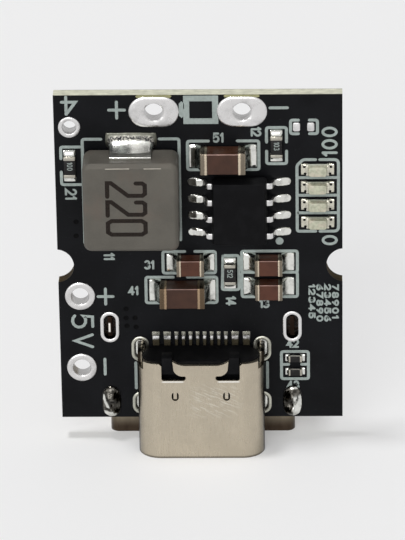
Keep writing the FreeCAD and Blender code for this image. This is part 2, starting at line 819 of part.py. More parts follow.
# Solder at the end of a part
def solder_wedge(length, height, width):
    """A concave fillet that falls from a wall at x = 0 to the pad's edge at x = length, on its pad."""
    low = pad_thickness
    top = Vector(0, height, 0)
    foot = Vector(length, low, 0)
    rise = height - low
    slope = [
        Vector(length * share, low + rise * (1 - share) ** 2, 0)
        for share in [step / small_flat_count for step in range(1, small_flat_count)]
    ]
    outline = [top, *slope, foot, Vector(length, 0, 0), Vector(0, 0, 0), top]
    return along_y(Part.Face(Part.makePolygon(outline)), 0, width)


def end_solder(part_length, seat_length, climb, pad_reach, pad_width):
    """Pad and fillet at each end of a chip part that lies along x."""
    end = part_length / 2
    pad = block(end - seat_length, end, -pad_width / 2, pad_width / 2, 0, pad_thickness)
    wedge = solder_wedge(pad_reach, climb, pad_width)
    wedge.translate(Vector(end, 0, 0))
    return both_sides(fuse(pad, wedge))


# Inductor
def make_inductor():
    base = pad_thickness + inductor_strip_thickness
    body = rounded_block(0, 0, inductor_width, inductor_length, inductor_corner, base,
                         pad_thickness + inductor_height, pad_flat_count)
    top_edges = [edge for edge in body.Edges if edge.BoundBox.ZMin > inductor_height / 2]
    body = body.makeChamfer(inductor_edge, top_edges)
    low_edges = [edge for edge in body.Edges if edge.BoundBox.ZMax < base + 0.01]
    body = body.makeChamfer(inductor_low_edge, low_edges)
    half = inductor_length / 2
    strip_z = pad_thickness + inductor_strip_thickness / 2
    strip_y = half + inductor_strip_thickness / 2
    path = [(half - inductor_foot, strip_z), (strip_y, strip_z), (strip_y, inductor_strip_height)]
    strip = along_x(strip_face(path, inductor_strip_thickness, inductor_strip_bend), 0, inductor_strip_width)
    strips = [strip, turned(strip, 0, 0, 180)]
    strip_face_y = half + inductor_strip_thickness
    pad = block(-inductor_pad_width / 2, inductor_pad_width / 2, half - inductor_foot, strip_face_y,
                0, pad_thickness)
    wedge = solder_wedge(inductor_pad_reach, inductor_climb, inductor_pad_width)
    wedge.rotate(Vector(0, 0, 0), Vector(0, 0, 1), 90)
    wedge.translate(Vector(0, strip_face_y, 0))
    solder = fuse(pad, wedge)
    solders = [solder, turned(solder, 0, 0, 180)]

    def placed(solids):
        return [turned(solid, inductor_x, inductor_y, 0) for solid in solids]
    return {
        "inductor_body": placed([body]),
        "inductor_terminals": placed(strips),
        "inductor_solder": placed(solders),
    }


# Converter chip
def moulded_half(z_parting, z_end):
    wires = []
    for z, inset in ((z_parting, 0), (z_end, chip_draft)):
        wire = rounded_face(chip_width - 2 * inset, chip_length - 2 * inset, chip_corner, 1).OuterWire
        wire.translate(Vector(0, 0, z))
        wires.append(wire)
    return Part.makeLoft(wires, True, True)


def make_converter_chip():
    low = pad_thickness + chip_standoff
    high = pad_thickness + chip_height
    parting = (low + high) / 2
    body = fuse(moulded_half(parting, high), moulded_half(parting, low))
    tip = lead_span / 2
    knee = tip - lead_foot
    foot_z = pad_thickness + lead_thickness / 2
    path = [
        (chip_width / 2 - lead_buried, parting),
        (knee - lead_slope, parting),
        (knee, foot_z),
        (tip, foot_z),
    ]
    lead = along_y(strip_face(path, lead_thickness, lead_bend), 0, lead_width)
    half_pad = lead_width / 2 + lead_pad_margin
    pad = block(knee - lead_pad_margin, tip, -half_pad, half_pad, 0, pad_thickness)
    wedge = solder_wedge(lead_pad_reach, pad_thickness + lead_thickness, 2 * half_pad)
    wedge.translate(Vector(tip, 0, 0))
    solder = fuse(pad, wedge)
    leads = []
    solders = []
    for row in range(lead_rows):
        y = (row - (lead_rows - 1) / 2) * lead_pitch
        for angle in (0, 180):
            leads.append(turned(turned(lead, 0, y, 0), 0, 0, angle))
            solders.append(turned(turned(solder, 0, y, 0), 0, 0, angle))
    body = cut(body, *leads)

    def placed(solids):
        return [turned(solid, chip_x, chip_y, 0) for solid in solids]
    return {
        "converter_chip_body": placed([body]),
        "converter_chip_leads": placed(leads),
        "converter_chip_solder": placed(solders),
    }


# Capacitors and resistors
def chip_part(length, width, height):
    """A ceramic bar along x with a metal cap on each end, lying on its pads."""
    skin = cap_skin
    low = pad_thickness
    outer = block(-length / 2, length / 2, -width / 2, width / 2, low, low + height)
    outer = outer.makeChamfer(cap_edge, outer.Edges)
    bar = block(-length / 2 + skin, length / 2 - skin, -width / 2 + skin, width / 2 - skin,
                low + skin, low + height - skin)
    cap_length = cap_share * length
    end = block(length / 2 - cap_length, length, -width, width, -overcut, height + overcut)
    cap = cut(outer.common(end), bar)
    return bar, both_sides(cap)


def make_capacitors():
    nodes = {"capacitor_solder": []}
    for name, (size, pads, x, y, angle) in capacitor_places.items():
        bar, caps = chip_part(*size)
        length, width, height = size
        solder = end_solder(length, seat_share * cap_share * length, capacitor_climb_share * height, *pads)
        nodes[name + "_body"] = [turned(bar, x, y, angle)]
        nodes[name + "_ends"] = [turned(cap, x, y, angle) for cap in caps]
        nodes["capacitor_solder"] += [turned(piece, x, y, angle) for piece in solder]
    return nodes


def make_resistors():
    nodes = {"resistor_ends": [], "resistor_solder": []}
    for name, (size, pads, x, y, angle) in resistor_places.items():
        length, width, height = size
        bar, caps = chip_part(*size)
        cap_length = cap_share * length
        half_coat = length / 2 - cap_length
        half_width = width / 2 - cap_skin
        bar_top = pad_thickness + height - cap_skin
        coat = block(-half_coat, half_coat, -half_width, half_width, bar_top, bar_top + resistor_coat)
        solder = end_solder(length, seat_share * cap_length, resistor_climb_share * height, *pads)
        nodes[name + "_body"] = [turned(fuse(bar, coat), x, y, angle)]
        nodes["resistor_ends"] += [turned(cap, x, y, angle) for cap in caps]
        nodes["resistor_solder"] += [turned(piece, x, y, angle) for piece in solder]
    return nodes


# Status lights
def make_lights():
    nodes = {"status_light_ends": [], "status_light_solder": []}
    low = pad_thickness
    half = light_length / 2
    skin = cap_skin
    base_top = low + light_base_height
    base = block(-half + skin, half - skin, -light_width / 2, light_width / 2, low + skin, base_top)
    wires = []
    for z, inset in ((base_top, 0), (base_top + light_lens_height, light_lens_draft)):
        wire = rounded_face(light_lens_length - 2 * inset, light_width - 2 * inset, light_lens_corner,
                            1).OuterWire
        wire.translate(Vector(0, 0, z))
        wires.append(wire)
    lens = Part.makeLoft(wires, True, True)
    wrap = block(half - light_end_length, half, -light_width / 2, light_width / 2, low, base_top + skin)
    ends = both_sides(cut(wrap, base))
    solder = end_solder(light_length, seat_share * light_end_length, resistor_climb_share * light_base_height,
                        light_pad_reach, light_width)
    for index in range(light_count):
        y = light_top_y - index * light_pitch
        name = f"status_light_{index + 1}"
        nodes[name + "_base"] = [turned(base, light_x, y, 0)]
        nodes[name + "_lens"] = [turned(lens, light_x, y, 0)]
        nodes["status_light_ends"] += [turned(piece, light_x, y, 0) for piece in ends]
        nodes["status_light_solder"] += [turned(piece, light_x, y, 0) for piece in solder]
    return nodes


def make_spare_pads():
    width, length = spare_pad_size
    pads = []
    for x in spare_pad_xs:
        pads.append(rounded_block(x, spare_pad_y, width, length, spare_pad_corner, 0, spare_pad_height,
                                  small_flat_count))
    return pads


def stand_up(solid):
    """From the flat drawing to the upright module, standing on the mouths of its connectors."""
    upright = solid.copy()
    upright.rotate(Vector(0, 0, 0), Vector(1, 0, 0), 90)
    upright.translate(Vector(0, front_face_y, mouth_overhang))
    return upright


def make_module():
    nodes = {"board": [make_board()]}
    nodes.update(make_terminals())
    nodes.update(make_leg_slots())
    signal, power = make_inlet_contacts()
    nodes["inlet_shell"] = make_inlet_shell()
    nodes["inlet_mid_plate"] = make_inlet_mid_plate()
    nodes["inlet_signal_contacts"] = signal
    nodes["inlet_power_contacts"] = power
    nodes["inlet_housing"] = make_inlet_housing(signal + power, nodes["inlet_mid_plate"])
    nodes["inlet_leg_solder"] = make_inlet_leg_solder(nodes["inlet_shell"])
    nodes["inlet_tail_solder"] = make_inlet_tail_solder()
    nodes["outlet_shell"] = make_outlet_shell()
    nodes["outlet_contacts"] = [outlet_contact(x) for x in outlet_contact_xs]
    nodes["outlet_housing"] = make_outlet_housing(nodes["outlet_contacts"])
    nodes["outlet_leg_solder"] = make_outlet_leg_solder(nodes["outlet_shell"])
    nodes["outlet_tail_solder"] = make_outlet_tail_solder()
    nodes.update(make_inductor())
    nodes.update(make_converter_chip())
    nodes.update(make_capacitors())
    nodes.update(make_resistors())
    nodes.update(make_lights())
    nodes["spare_pads"] = make_spare_pads()
    return nodes


def main():
    os.makedirs("parts", exist_ok=True)
    for name, solids in make_module().items():
        upright = [stand_up(solid) for solid in solids]
        pieces = [piece for solid in upright for piece in solid.Solids]
        shape = pieces[0] if len(pieces) == 1 else Part.makeCompound(pieces)
        shape.exportStep(f"parts/{name}.step")


main()
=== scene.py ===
"""Looks of a power bank module: a small black circuit board that stands on the mouths of its two connectors.

Pieces are drawn with the board lying flat, in millimetres: x runs across the board, y up it from its lower
edge and z out of its front face. add_piece stands them up into the frame's own metres.
"""
import math
import random

import bmesh
import bpy
from bpy.props import FloatProperty, FloatVectorProperty, PointerProperty
from mathutils import Euler, Matrix, Vector


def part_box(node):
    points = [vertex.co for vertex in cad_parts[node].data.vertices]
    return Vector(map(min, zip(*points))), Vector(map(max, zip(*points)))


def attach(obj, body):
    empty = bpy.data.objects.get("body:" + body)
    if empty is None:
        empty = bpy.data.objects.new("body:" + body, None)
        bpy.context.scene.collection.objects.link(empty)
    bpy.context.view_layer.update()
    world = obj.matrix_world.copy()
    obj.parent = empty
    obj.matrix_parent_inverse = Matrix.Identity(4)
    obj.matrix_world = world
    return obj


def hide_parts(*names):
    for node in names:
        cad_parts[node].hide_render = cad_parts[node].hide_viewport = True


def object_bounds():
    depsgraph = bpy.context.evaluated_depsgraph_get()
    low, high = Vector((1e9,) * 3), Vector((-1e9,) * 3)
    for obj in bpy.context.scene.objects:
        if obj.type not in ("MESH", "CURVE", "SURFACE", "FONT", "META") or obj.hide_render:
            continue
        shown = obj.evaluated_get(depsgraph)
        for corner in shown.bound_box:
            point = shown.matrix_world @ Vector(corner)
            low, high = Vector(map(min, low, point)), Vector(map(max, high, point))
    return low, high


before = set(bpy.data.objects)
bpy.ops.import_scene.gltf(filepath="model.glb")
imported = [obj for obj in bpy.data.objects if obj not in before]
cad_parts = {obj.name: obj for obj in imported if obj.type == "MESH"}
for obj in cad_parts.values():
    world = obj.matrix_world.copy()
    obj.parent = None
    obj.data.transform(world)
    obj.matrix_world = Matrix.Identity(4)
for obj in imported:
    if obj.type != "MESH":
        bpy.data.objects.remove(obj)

bl_info = {
    "name": "Power bank module",
    "version": (1, 0, 0),
    "blender": (4, 5, 0),
    "location": "3D View > Sidebar > Power bank",
    "description": "Dresses the frame of a small power bank circuit board",
    "category": "Add Mesh",
}

MM = 0.001
CAD_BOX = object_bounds()
BOARD_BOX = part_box("board")
BOARD_THICKNESS = (BOARD_BOX[1].y - BOARD_BOX[0].y) / MM
BOARD_TO_MODEL = (
    Matrix.Translation((0, BOARD_BOX[0].y, BOARD_BOX[0].z))
    @ Matrix.Rotation(math.radians(90), 4, "X")
    @ Matrix.Scale(MM, 4)
)
MODEL_TO_BOARD = BOARD_TO_MODEL.inverted()

# The photograph's camera
PHOTO_HEIGHT = 540
FOCAL_PIXELS = 4358.0
SENSOR_SIZE = 36.0
CAMERA_PLACE = (7.4663, -279.6764, 141.9029)
CAMERA_TURN = (65.15372, 0.79438, 1.13740)

# Heights above the board's front face
PAD_HEIGHT = 0.05
PRINT_HEIGHT = 0.02
# Middle of the board's thickness, and the top of the inlet's tails, in the frame's own axes
BOARD_MIDDLE = (BOARD_BOX[0].y + BOARD_BOX[1].y) / 2 / MM
TAIL_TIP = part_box("inlet_signal_contacts")[1].z / MM
# Height above the floor up to which the output socket's legs are soldered on the front
SOLDERED_LEGS = 4.6


class Spot:
    """The room that a node takes on the flat board."""

    def __init__(self, node):
        low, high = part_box(node)
        corners = [MODEL_TO_BOARD @ low, MODEL_TO_BOARD @ high]
        self.low = Vector(map(min, *corners))
        self.high = Vector(map(max, *corners))
        self.centre = (self.low + self.high) / 2
        self.size = self.high - self.low

    def turned(self):
        """Whether the node's long side runs up the board."""
        return self.size.y > self.size.x


# Settings
def size_setting(name, description, default, low, high):
    """A length, given here in millimetres and kept in metres."""
    return FloatProperty(name=name, description=description, default=default * MM, min=low * MM,
                         max=high * MM, precision=5, subtype="DISTANCE", unit="LENGTH")


def plain_setting(name, description, default, low, high):
    return FloatProperty(name=name, description=description, default=default, min=low, max=high,
                         subtype="UNSIGNED", unit="NONE")


def colour_setting(name, description, default):
    return FloatVectorProperty(name=name, description=description, default=default, subtype="COLOR",
                               size=3, min=0.0, max=1.0)


class BoardSettings(bpy.types.PropertyGroup):
    mask_colour: colour_setting("Solder mask", "Colour of the board's two faces", (0.0048, 0.0051, 0.0062))
    edge_colour: colour_setting("Board edge", "Colour of the bare fibreglass edge", (0.78, 0.775, 0.625))
    print_colour: colour_setting("Print", "Colour of the printed lines and signs", (0.33, 0.378, 0.359))
    line_width: size_setting("Line width", "Width of the printed lines", 0.21, 0.1, 0.4)


class MetalSettings(bpy.types.PropertyGroup):
    shell_colour: colour_setting("Inlet shell", "Colour of the charging inlet's shell", (0.50, 0.442, 0.348))
    rear_colour: colour_setting("Outlet shell", "Colour of the output socket's shell", (0.44, 0.39, 0.32))
    solder_colour: colour_setting("Solder", "Colour of the solder", (0.72, 0.72, 0.68))
    plating_colour: colour_setting("Plating", "Colour of the tinned pads", (0.67, 0.66, 0.655))
    contact_colour: colour_setting("Contacts", "Colour of the gilt contacts", (0.83, 0.66, 0.36))
    edge_rounding: size_setting("Edge rounding", "Rounding of cut sheet", 0.035, 0.01, 0.08)


class PartSettings(bpy.types.PropertyGroup):
    ceramic_colour: colour_setting("Capacitor", "Colour of the capacitors' ceramic", (0.048, 0.019, 0.0105))
    cap_colour: colour_setting("End cap", "Colour of the end caps", (0.46, 0.39, 0.30))
    iron_colour: colour_setting("Inductor", "Colour of the pressed iron body", (0.108, 0.100, 0.085))
    moulding_colour: colour_setting("Moulding", "Colour of the black mouldings", (0.0040, 0.0040, 0.0046))
    lens_colour: colour_setting("Lens", "Colour of the unlit status lights", (0.51, 0.515, 0.385))


class StageSettings(bpy.types.PropertyGroup):
    floor_colour: colour_setting("Floor", "Colour of the floor and the backdrop", (0.86, 0.86, 0.865))
    world_level: plain_setting("Sky level", "Strength of the even light", 0.34, 0.0, 2.0)
    key_power: plain_setting("Key light", "Strength of the light straight above, watts on a square metre",
                             1.30, 0.0, 5.0)
    fill_power: plain_setting("Fill light", "Strength of the light in front, watts on a square metre",
                              1.53, 0.0, 5.0)


SETTING_GROUPS = {
    "module_board": BoardSettings,
    "module_metal": MetalSettings,
    "module_parts": PartSettings,
    "module_stage": StageSettings,
}


# Finishes. Sizes in their patterns are in millimetres.
def scaled(colour, red, green, blue):
    return tuple(min(1.0, part * share) for part, share in zip(colour, (red, green, blue)))


class Value:
    """An output of a node that takes part in plain arithmetic."""

    def __init__(self, nodes, socket):
        self.nodes = nodes
        self.socket = socket

    def _sum(self, operation, first, second):
        return self.nodes.node("Math", {0: first, 1: second}, operation=operation)

    def __add__(self, other):
        return self._sum("ADD", self, other)

    def __sub__(self, other):
        return self._sum("SUBTRACT", self, other)

    def __rsub__(self, other):
        return self._sum("SUBTRACT", other, self)

    def __mul__(self, other):
        return self._sum("MULTIPLY", self, other)

    __radd__ = __add__
    __rmul__ = __mul__

    def __abs__(self):
        return self._sum("ABSOLUTE", self, 0.0)

    def most(self, other):
        return self._sum("MAXIMUM", self, other)

    def rise(self, low, high, start=0.0, end=1.0):
        """Goes smoothly from start to end as the value goes from low to high."""
        span = {"Value": self, "From Min": low, "From Max": high, "To Min": start, "To Max": end}
        return self.nodes.node("MapRange", span, interpolation_type="SMOOTHSTEP")


class Nodes:
    """A tree of nodes that is built up from their outputs."""

    def __init__(self, tree):
        self.tree = tree

    def feed(self, socket, value):
        if isinstance(value, Value):
            self.tree.links.new(value.socket, socket)
        else:
            socket.default_value = value

    def node(self, kind, inputs=None, output=None, **settings):
        """Adds a node, gives it its settings and then its inputs, and returns one of its outputs."""
        node = self.tree.nodes.new(kind if kind.startswith("Geometry") else "ShaderNode" + kind)
        for name, value in settings.items():
            setattr(node, name, value)
        for key, value in (inputs or {}).items():
            socket = node.inputs[key] if isinstance(key, int) else self.open_socket(node.inputs, key)
            self.feed(socket, value)
        return Value(self, self.open_socket(node.outputs, output))

    @staticmethod
    def open_socket(sockets, name=None):
        return next(socket for socket in sockets if socket.enabled and name in (None, socket.name))

    def seen(self):
        """1 where the camera, metal or glass sees a thing, and 0 where its light falls on the object."""
        camera, metal, glass = (self.node("LightPath", output=f"Is {way} Ray")
                                for way in ("Camera", "Glossy", "Transmission"))
        return camera.most(metal).most(glass)


class Finish(Nodes):
    """One material, built round a single shader."""

    def __init__(self, name, colour, roughness, metallic, specular):
        self.material = bpy.data.materials.new(name)
        self.material.use_nodes = True
        super().__init__(self.material.node_tree)
        self.shader = self.tree.nodes["Principled BSDF"]
        self.colour = tuple(colour)
        self.roughness = roughness
        self.material.diffuse_color = (*colour, 1.0)
        self.put(Base_Color=(*colour, 1.0), Roughness=roughness, Metallic=metallic,
                 Specular_IOR_Level=specular)

    def put(self, **values):
        for name, value in values.items():
            self.feed(self.shader.inputs[name.replace("_", " ")], value)

    def place(self, stretch=(1, 1, 1)):
        """Where a point is on the module, stretched to give a grain its direction."""
        scale = tuple(1 / (MM * share) for share in stretch)
        return self.node("Mapping", {"Vector": self.node("TexCoord", output="Object"), "Scale": scale})

    def axis(self, name):
        return self.node("SeparateXYZ", {0: self.place()}, name)

    def height(self):
        """How far a point stands above the board's front face."""
        return BOARD_BOX[0].y / MM - self.axis("Y")

    def depth(self):
        """How far a point is from the middle of the board's thickness."""
        return abs(self.axis("Y") - BOARD_MIDDLE)

    def noise(self, size, detail=3.0, stretch=(1, 1, 1), roughness=0.5):
        return self.node("TexNoise", {"Vector": self.place(stretch), "Scale": 1 / size, "Detail": detail,
                                      "Roughness": roughness})

    def cells(self, size, feature="F1"):
        inputs = {"Vector": self.place(), "Scale": 1 / size}
        return self.node("TexVoronoi", inputs, "Distance", feature=feature)

    def noted(self, name):
        """A value that the mesh carries at its points."""
        return self.node("Attribute", output="Fac", attribute_name=name)

    def blend(self, share, *shades):
        first, second = (shade if isinstance(shade, Value) else (*shade, 1.0) for shade in shades)
        return self.node("Mix", {"Factor": share, "A": first, "B": second}, data_type="RGBA")

    def tone(self, share, darker, lighter):
        """The finish's own colour, from darker to lighter as the share goes from 0 to 1."""
        return self.blend(share, *(scaled(self.colour, level, level, level) for level in (darker, lighter)))

    def relief(self, height, depth):
        """Raises the surface by a share of the depth, without moving the mesh."""
        self.put(Normal=self.node("Bump", {"Height": height, "Strength": 1.0, "Distance": depth * MM}))


# Each look returns a colour, a roughness, and the height and depth of a fine relief.
def lacquer_look(finish, edge):
    """Black lacquer over copper on the two faces, and bare fibreglass at the edge and in the notches, with
    painted shade on the notch walls.
    """
    half = BOARD_THICKNESS / 2
    lacquer = finish.depth().rise(half - 0.035, half - 0.01)
    cloud = finish.noise(2.4, 4.0).rise(0.3, 0.7)
    speck = finish.noise(0.12, 2.0).rise(0.66, 0.78)
    black = finish.blend(speck * 0.08, finish.tone(cloud, 0.8, 1.25), (0.10, 0.11, 0.12))
    layers = finish.noise(0.11, 2.0, (9.0, 1.0, 9.0)).rise(0.3, 0.7)
    bundles = finish.noise(0.5, 3.0).rise(0.35, 0.7)
    glass = finish.blend(layers * 0.6 + bundles * 0.4, edge, scaled(edge, 0.62, 0.62, 0.62))
    # Painted shade: the walls of the notches are dark brown, and the outer edge stays pale fibreglass
    burnt = finish.blend(layers, (0.060, 0.042, 0.016), (0.020, 0.012, 0.006))
    half_width = BOARD_BOX[1].x / MM
    outline = abs(finish.axis("X")).rise(half_width - 0.03, half_width - 0.01)
    for height, way in ((BOARD_BOX[0].z / MM, 1), (BOARD_BOX[1].z / MM, -1)):
        outline = outline.most(finish.axis("Z").rise(height + way * 0.03, height + way * 0.01))
    bare = finish.blend(1.0 - outline, glass, burnt)
    weave = finish.cells(0.55, "SMOOTH_F1")
    peel = finish.noise(0.35, 3.0)
    saw = finish.noise(0.05, 2.0, (1.0, 8.0, 1.0))
    roughness = lacquer.rise(0.0, 1.0, 0.75, 0.40) + (cloud - 0.5) * 0.08
    height = lacquer * (peel * 0.5 + weave * 0.3) + (1.0 - lacquer) * saw
    return finish.blend(lacquer, bare, black), roughness, height, 0.012


def print_look(finish):
    """Pale printing ink, a little thin in places."""
    thin = finish.noise(0.18, 3.0).rise(0.30, 0.75)
    patch = finish.noise(1.6, 2.0).rise(0.3, 0.7)
    colour = finish.tone(thin * 0.6 + patch * 0.4, 0.84, 1.12)
    return colour, thin.rise(0, 1, 0.7, 0.52), finish.noise(0.07, 2.0), 0.006


def tin_look(finish, wave, depth, wall=1.0):
    """Bright tin: soft pools and dimples, a duller bloom, and a wall share for inside holes."""
    bloom = finish.noise(0.55, 4.0).rise(0.42, 0.72)
    grain = finish.noise(0.05, 3.0)
    face = finish.tone(bloom, 1.06, 0.80)
    if wall < 1.0:
        below = finish.depth().rise(BOARD_THICKNESS / 2 + 0.02, BOARD_THICKNESS / 2 - 0.06)
        face = finish.blend(below, face, finish.tone(grain, wall * 0.8, wall * 1.2))
    roughness = bloom.rise(0, 1, finish.roughness - 0.06, finish.roughness + 0.16) + (grain - 0.5) * 0.06
    return face, roughness, finish.noise(wave, 2.0) * 0.8 + grain * 0.2, depth


def outlet_slot_look(finish):
    """Slots of the output socket: a pale ring round a brown wall, and flux over the two soldered ones."""
    grain = finish.noise(0.12, 3.0)
    wall = finish.depth().rise(BOARD_THICKNESS / 2 + 0.05, BOARD_THICKNESS / 2)
    brown = finish.blend(grain, (0.060, 0.036, 0.024), (0.012, 0.008, 0.006))
    soldered = finish.axis("Z").rise(SOLDERED_LEGS + 0.05, SOLDERED_LEGS - 0.05)
    ring = finish.blend(soldered, finish.tone(grain, 1.15, 0.95), finish.tone(grain, 0.03, 0.08))
    return finish.blend(wall, ring, brown), grain.rise(0.2, 0.8, 0.24, 0.42), finish.noise(0.4, 2.0), 0.008


def solder_look(finish):
    """Solder: pale where it lies flat on a pad, and dark with bright flecks where it climbs a part."""
    bloom = finish.noise(0.45, 4.0).rise(0.40, 0.72)
    grain = finish.noise(0.05, 3.0)
    flecks = finish.noise(0.34, 2.0).rise(0.36, 0.60, 0.55, 1.0)
    climb = finish.height().rise(0.22, 0.46) * flecks
    colour = finish.blend(climb * 0.92, finish.tone(bloom, 1.06, 0.74), (0.060, 0.057, 0.048))
    roughness = bloom.rise(0, 1, 0.13, 0.32) + (grain - 0.5) * 0.06
    return colour, roughness, finish.noise(0.28, 2.0) * 0.8 + grain * 0.2, 0.014


def strip_solder_look(finish):
    """The inductor's solder: a dull pad, a dark speckled foot and a bright band where it climbs."""
    height = finish.height()
    speckle = finish.noise(0.09, 3.0)
    pool = finish.noise(0.7, 3.0).rise(0.35, 0.7)
    pad = finish.blend(pool, (0.21, 0.21, 0.175), (0.12, 0.12, 0.10))
    foot = finish.blend(speckle.rise(0.45, 0.58), (0.016, 0.016, 0.022), (0.34, 0.33, 0.29))
    lower = finish.blend((height + (speckle - 0.5) * 0.05).rise(0.12, 0.20), pad, foot)
    high = (height + (speckle - 0.5) * 0.2).rise(0.34, 0.48)
    roughness = height.rise(0.3, 0.5, 0.36, 0.20) + (speckle - 0.5) * 0.1
    relief = finish.noise(0.3, 2.0) * 0.6 + speckle * 0.4
    return finish.blend(high, lower, finish.tone(pool, 1.12, 0.86)), roughness, relief, 0.016


def strip_look(finish):
    """The inductor's strips: dull tin with a painted highlight along the top edge."""
    cloud = finish.noise(0.4, 3.0).rise(0.35, 0.7)
    # Painted highlight along the top edge
    cut = (finish.height() + (cloud - 0.5) * 0.03).rise(2.10, 2.15)
    colour = finish.blend(cut, finish.tone(cloud, 0.40, 0.24), finish.tone(cloud, 1.2, 0.95))
    return colour, cut.rise(0, 1, 0.42, 0.22) + (cloud - 0.5) * 0.1, finish.noise(0.12, 3.0), 0.008


def leg_solder_look(finish):
    """Solder of the output socket's legs: dark and glossy, with painted highlights in a few places: a slanted
    streak, a fan at its foot, a band and an arc.
    """
    x = finish.axis("X") + (finish.noise(0.25, 3.0) - 0.5) * 0.16
    z = finish.axis("Z") + (finish.noise(0.20, 2.0) - 0.5) * 0.14
    # Painted highlights: a slanted streak, a fan at the foot, a band and an arc
    streak = abs(x + (z - 2.6) * 0.34 + 6.74).rise(0.14, 0.07) * z.rise(2.48, 2.58) * z.rise(3.70, 3.56)
    fan = z.rise(2.36, 2.24) * abs(x + 6.62).rise(0.56, 0.42)
    band = abs(x - 6.78).rise(0.36, 0.25) * z.rise(3.62, 3.34)
    arc = abs(z - 4.02).rise(0.08, 0.03) * abs(x - 6.6).rise(0.34, 0.22)
    smoke = finish.noise(0.30, 4.0).rise(0.45, 0.75)
    # The dark colour of the solder between the painted highlights
    flux = finish.blend(smoke, (0.050, 0.047, 0.041), (0.20, 0.19, 0.17))
    colour = finish.blend(streak.most(fan).most(band).most(arc), flux, finish.tone(smoke, 1.05, 0.7))
    return colour, smoke.rise(0, 1, 0.12, 0.30), finish.noise(0.22, 3.0), 0.03


def end_cap_look(finish):
    """Burnt-in end caps: a painted highlight in a band by the ceramic, painted shade that browns their
    rounded outer end, and darker near the board.
    """
    grain = finish.noise(0.10, 3.0)
    across = finish.noted("across") + (grain - 0.5) * 0.22
    # Painted highlight in the band by the ceramic, and painted shade over the rounded outer end
    inner = across.rise(0.0, 0.10) * across.rise(0.42, 0.28)
    outer = across.rise(0.86, 1.0) * 0.45
    shade = finish.blend(inner.most(outer), finish.tone(grain, 0.50, 0.34), finish.tone(grain, 1.5, 1.2))
    foot = finish.height().rise(0.5, 0.15)
    colour = finish.blend(foot * 0.7, shade, finish.tone(grain, 0.12, 0.22))
    return colour, grain.rise(0.3, 0.7, 0.24, 0.38), grain, 0.010


def tail_look(finish):
    """Contacts: bright where solder wets the tails' tips, brown and dull where they leave the block, with
    painted shade from the block that also darkens that part.
    """
    tip = (finish.axis("Z") + (finish.noise(0.2, 2.0) - 0.5) * 0.2).rise(TAIL_TIP - 0.34, TAIL_TIP - 0.14)
    bloom = finish.noise(0.25, 3.0).rise(0.35, 0.7)
    # Painted shade from the block, along with the brown of the tails, darkens their lower part
    colour = finish.blend(tip, (0.020, 0.017, 0.011), finish.tone(bloom, 0.30, 0.10))
    return colour, tip.rise(0, 1, 0.45, 0.32) + (bloom - 0.5) * 0.1, finish.noise(0.12, 3.0), 0.008


def sheet_look(finish, dark, shade=None):
    """Nickelled sheet: fine rolling lines up the connector, small scratches, a faint tarnish."""
    rolled = finish.noise(0.06, 3.0, (1.0, 1.0, 14.0))
    marks = finish.noise(0.05, 2.0, (9.0, 9.0, 1.0)).rise(0.64, 0.74)
    tarnish = finish.noise(1.9, 4.0).rise(0.38, 0.72)
    soft = finish.noise(0.4, 3.0, (1.0, 1.0, 2.5))
    face = finish.blend(marks * 0.16, finish.tone(tarnish * 0.7 + soft * 0.3, 1.04, dark), (0.86, 0.83, 0.78))
    if shade:
        face = shade(finish, face, soft)
    roughness = rolled.rise(0.25, 0.75, finish.roughness - 0.05, finish.roughness + 0.09) + tarnish * 0.05
    return face, roughness, rolled * 0.4 + soft * 0.4 + marks * 0.3, 0.005


# Places on the inlet's shell, across and up: its rubbed patch, and the painted highlight on the lip under
# each hooked slot
RUBBED_PLACE = (1.0, 4.5)
SLOT_LIP_HIGHLIGHT = (1.97, 6.01)


def inlet_shade(finish, face, soft):
    """Rubbed in the middle, with a painted highlight under each hooked slot, painted shade that makes the
    sides browner and the mouth dark, and brown at the soldered ears.
    """
    x = finish.axis("X")
    z = finish.axis("Z")
    across = abs(x)
    slanted = finish.node("CombineXYZ", {0: x * 0.11 - z * 0.055, 1: x * 0.45 + z * 0.9})
    streaks = finish.node("TexNoise", {"Vector": slanted, "Scale": 9.0, "Detail": 2.0}).rise(0.50, 0.64)
    rubbed = streaks * abs(x - RUBBED_PLACE[0]).rise(2.2, 0.9) * abs(z - RUBBED_PLACE[1]).rise(1.6, 0.7)
    face = finish.blend(rubbed * 0.42, face, (0.76, 0.735, 0.65))
    # Painted highlight: a bright line on the lip under each hooked slot
    lip_highlight = abs(z - SLOT_LIP_HIGHLIGHT[1]).rise(0.08, 0.03) * abs(across - SLOT_LIP_HIGHLIGHT[0]).rise(0.84, 0.66) * 0.75
    face = finish.blend(lip_highlight * finish.height().rise(2.9, 3.0), face, (0.97, 0.95, 0.90))
    # Painted shade: the sides turn darker and browner
    face = finish.blend(across.rise(3.9, 4.5) * 0.62, face, finish.tone(soft, 0.40, 0.30))
    # Painted shade: a dark line at the mouth, where it meets the floor
    face = finish.blend(z.rise(0.20, 0.06) * 0.75, face, finish.tone(soft, 0.20, 0.12))
    ears = across.rise(4.15, 4.3) * finish.height().rise(2.3, 1.9)
    return finish.blend(ears, face, finish.blend(soft, (0.024, 0.020, 0.014), (0.007, 0.005, 0.004)))


# The painted highlight, a bright sliver on the leg's tip in the left slot: its place across and up
SLIVER_HIGHLIGHT = (-6.48, 8.72)


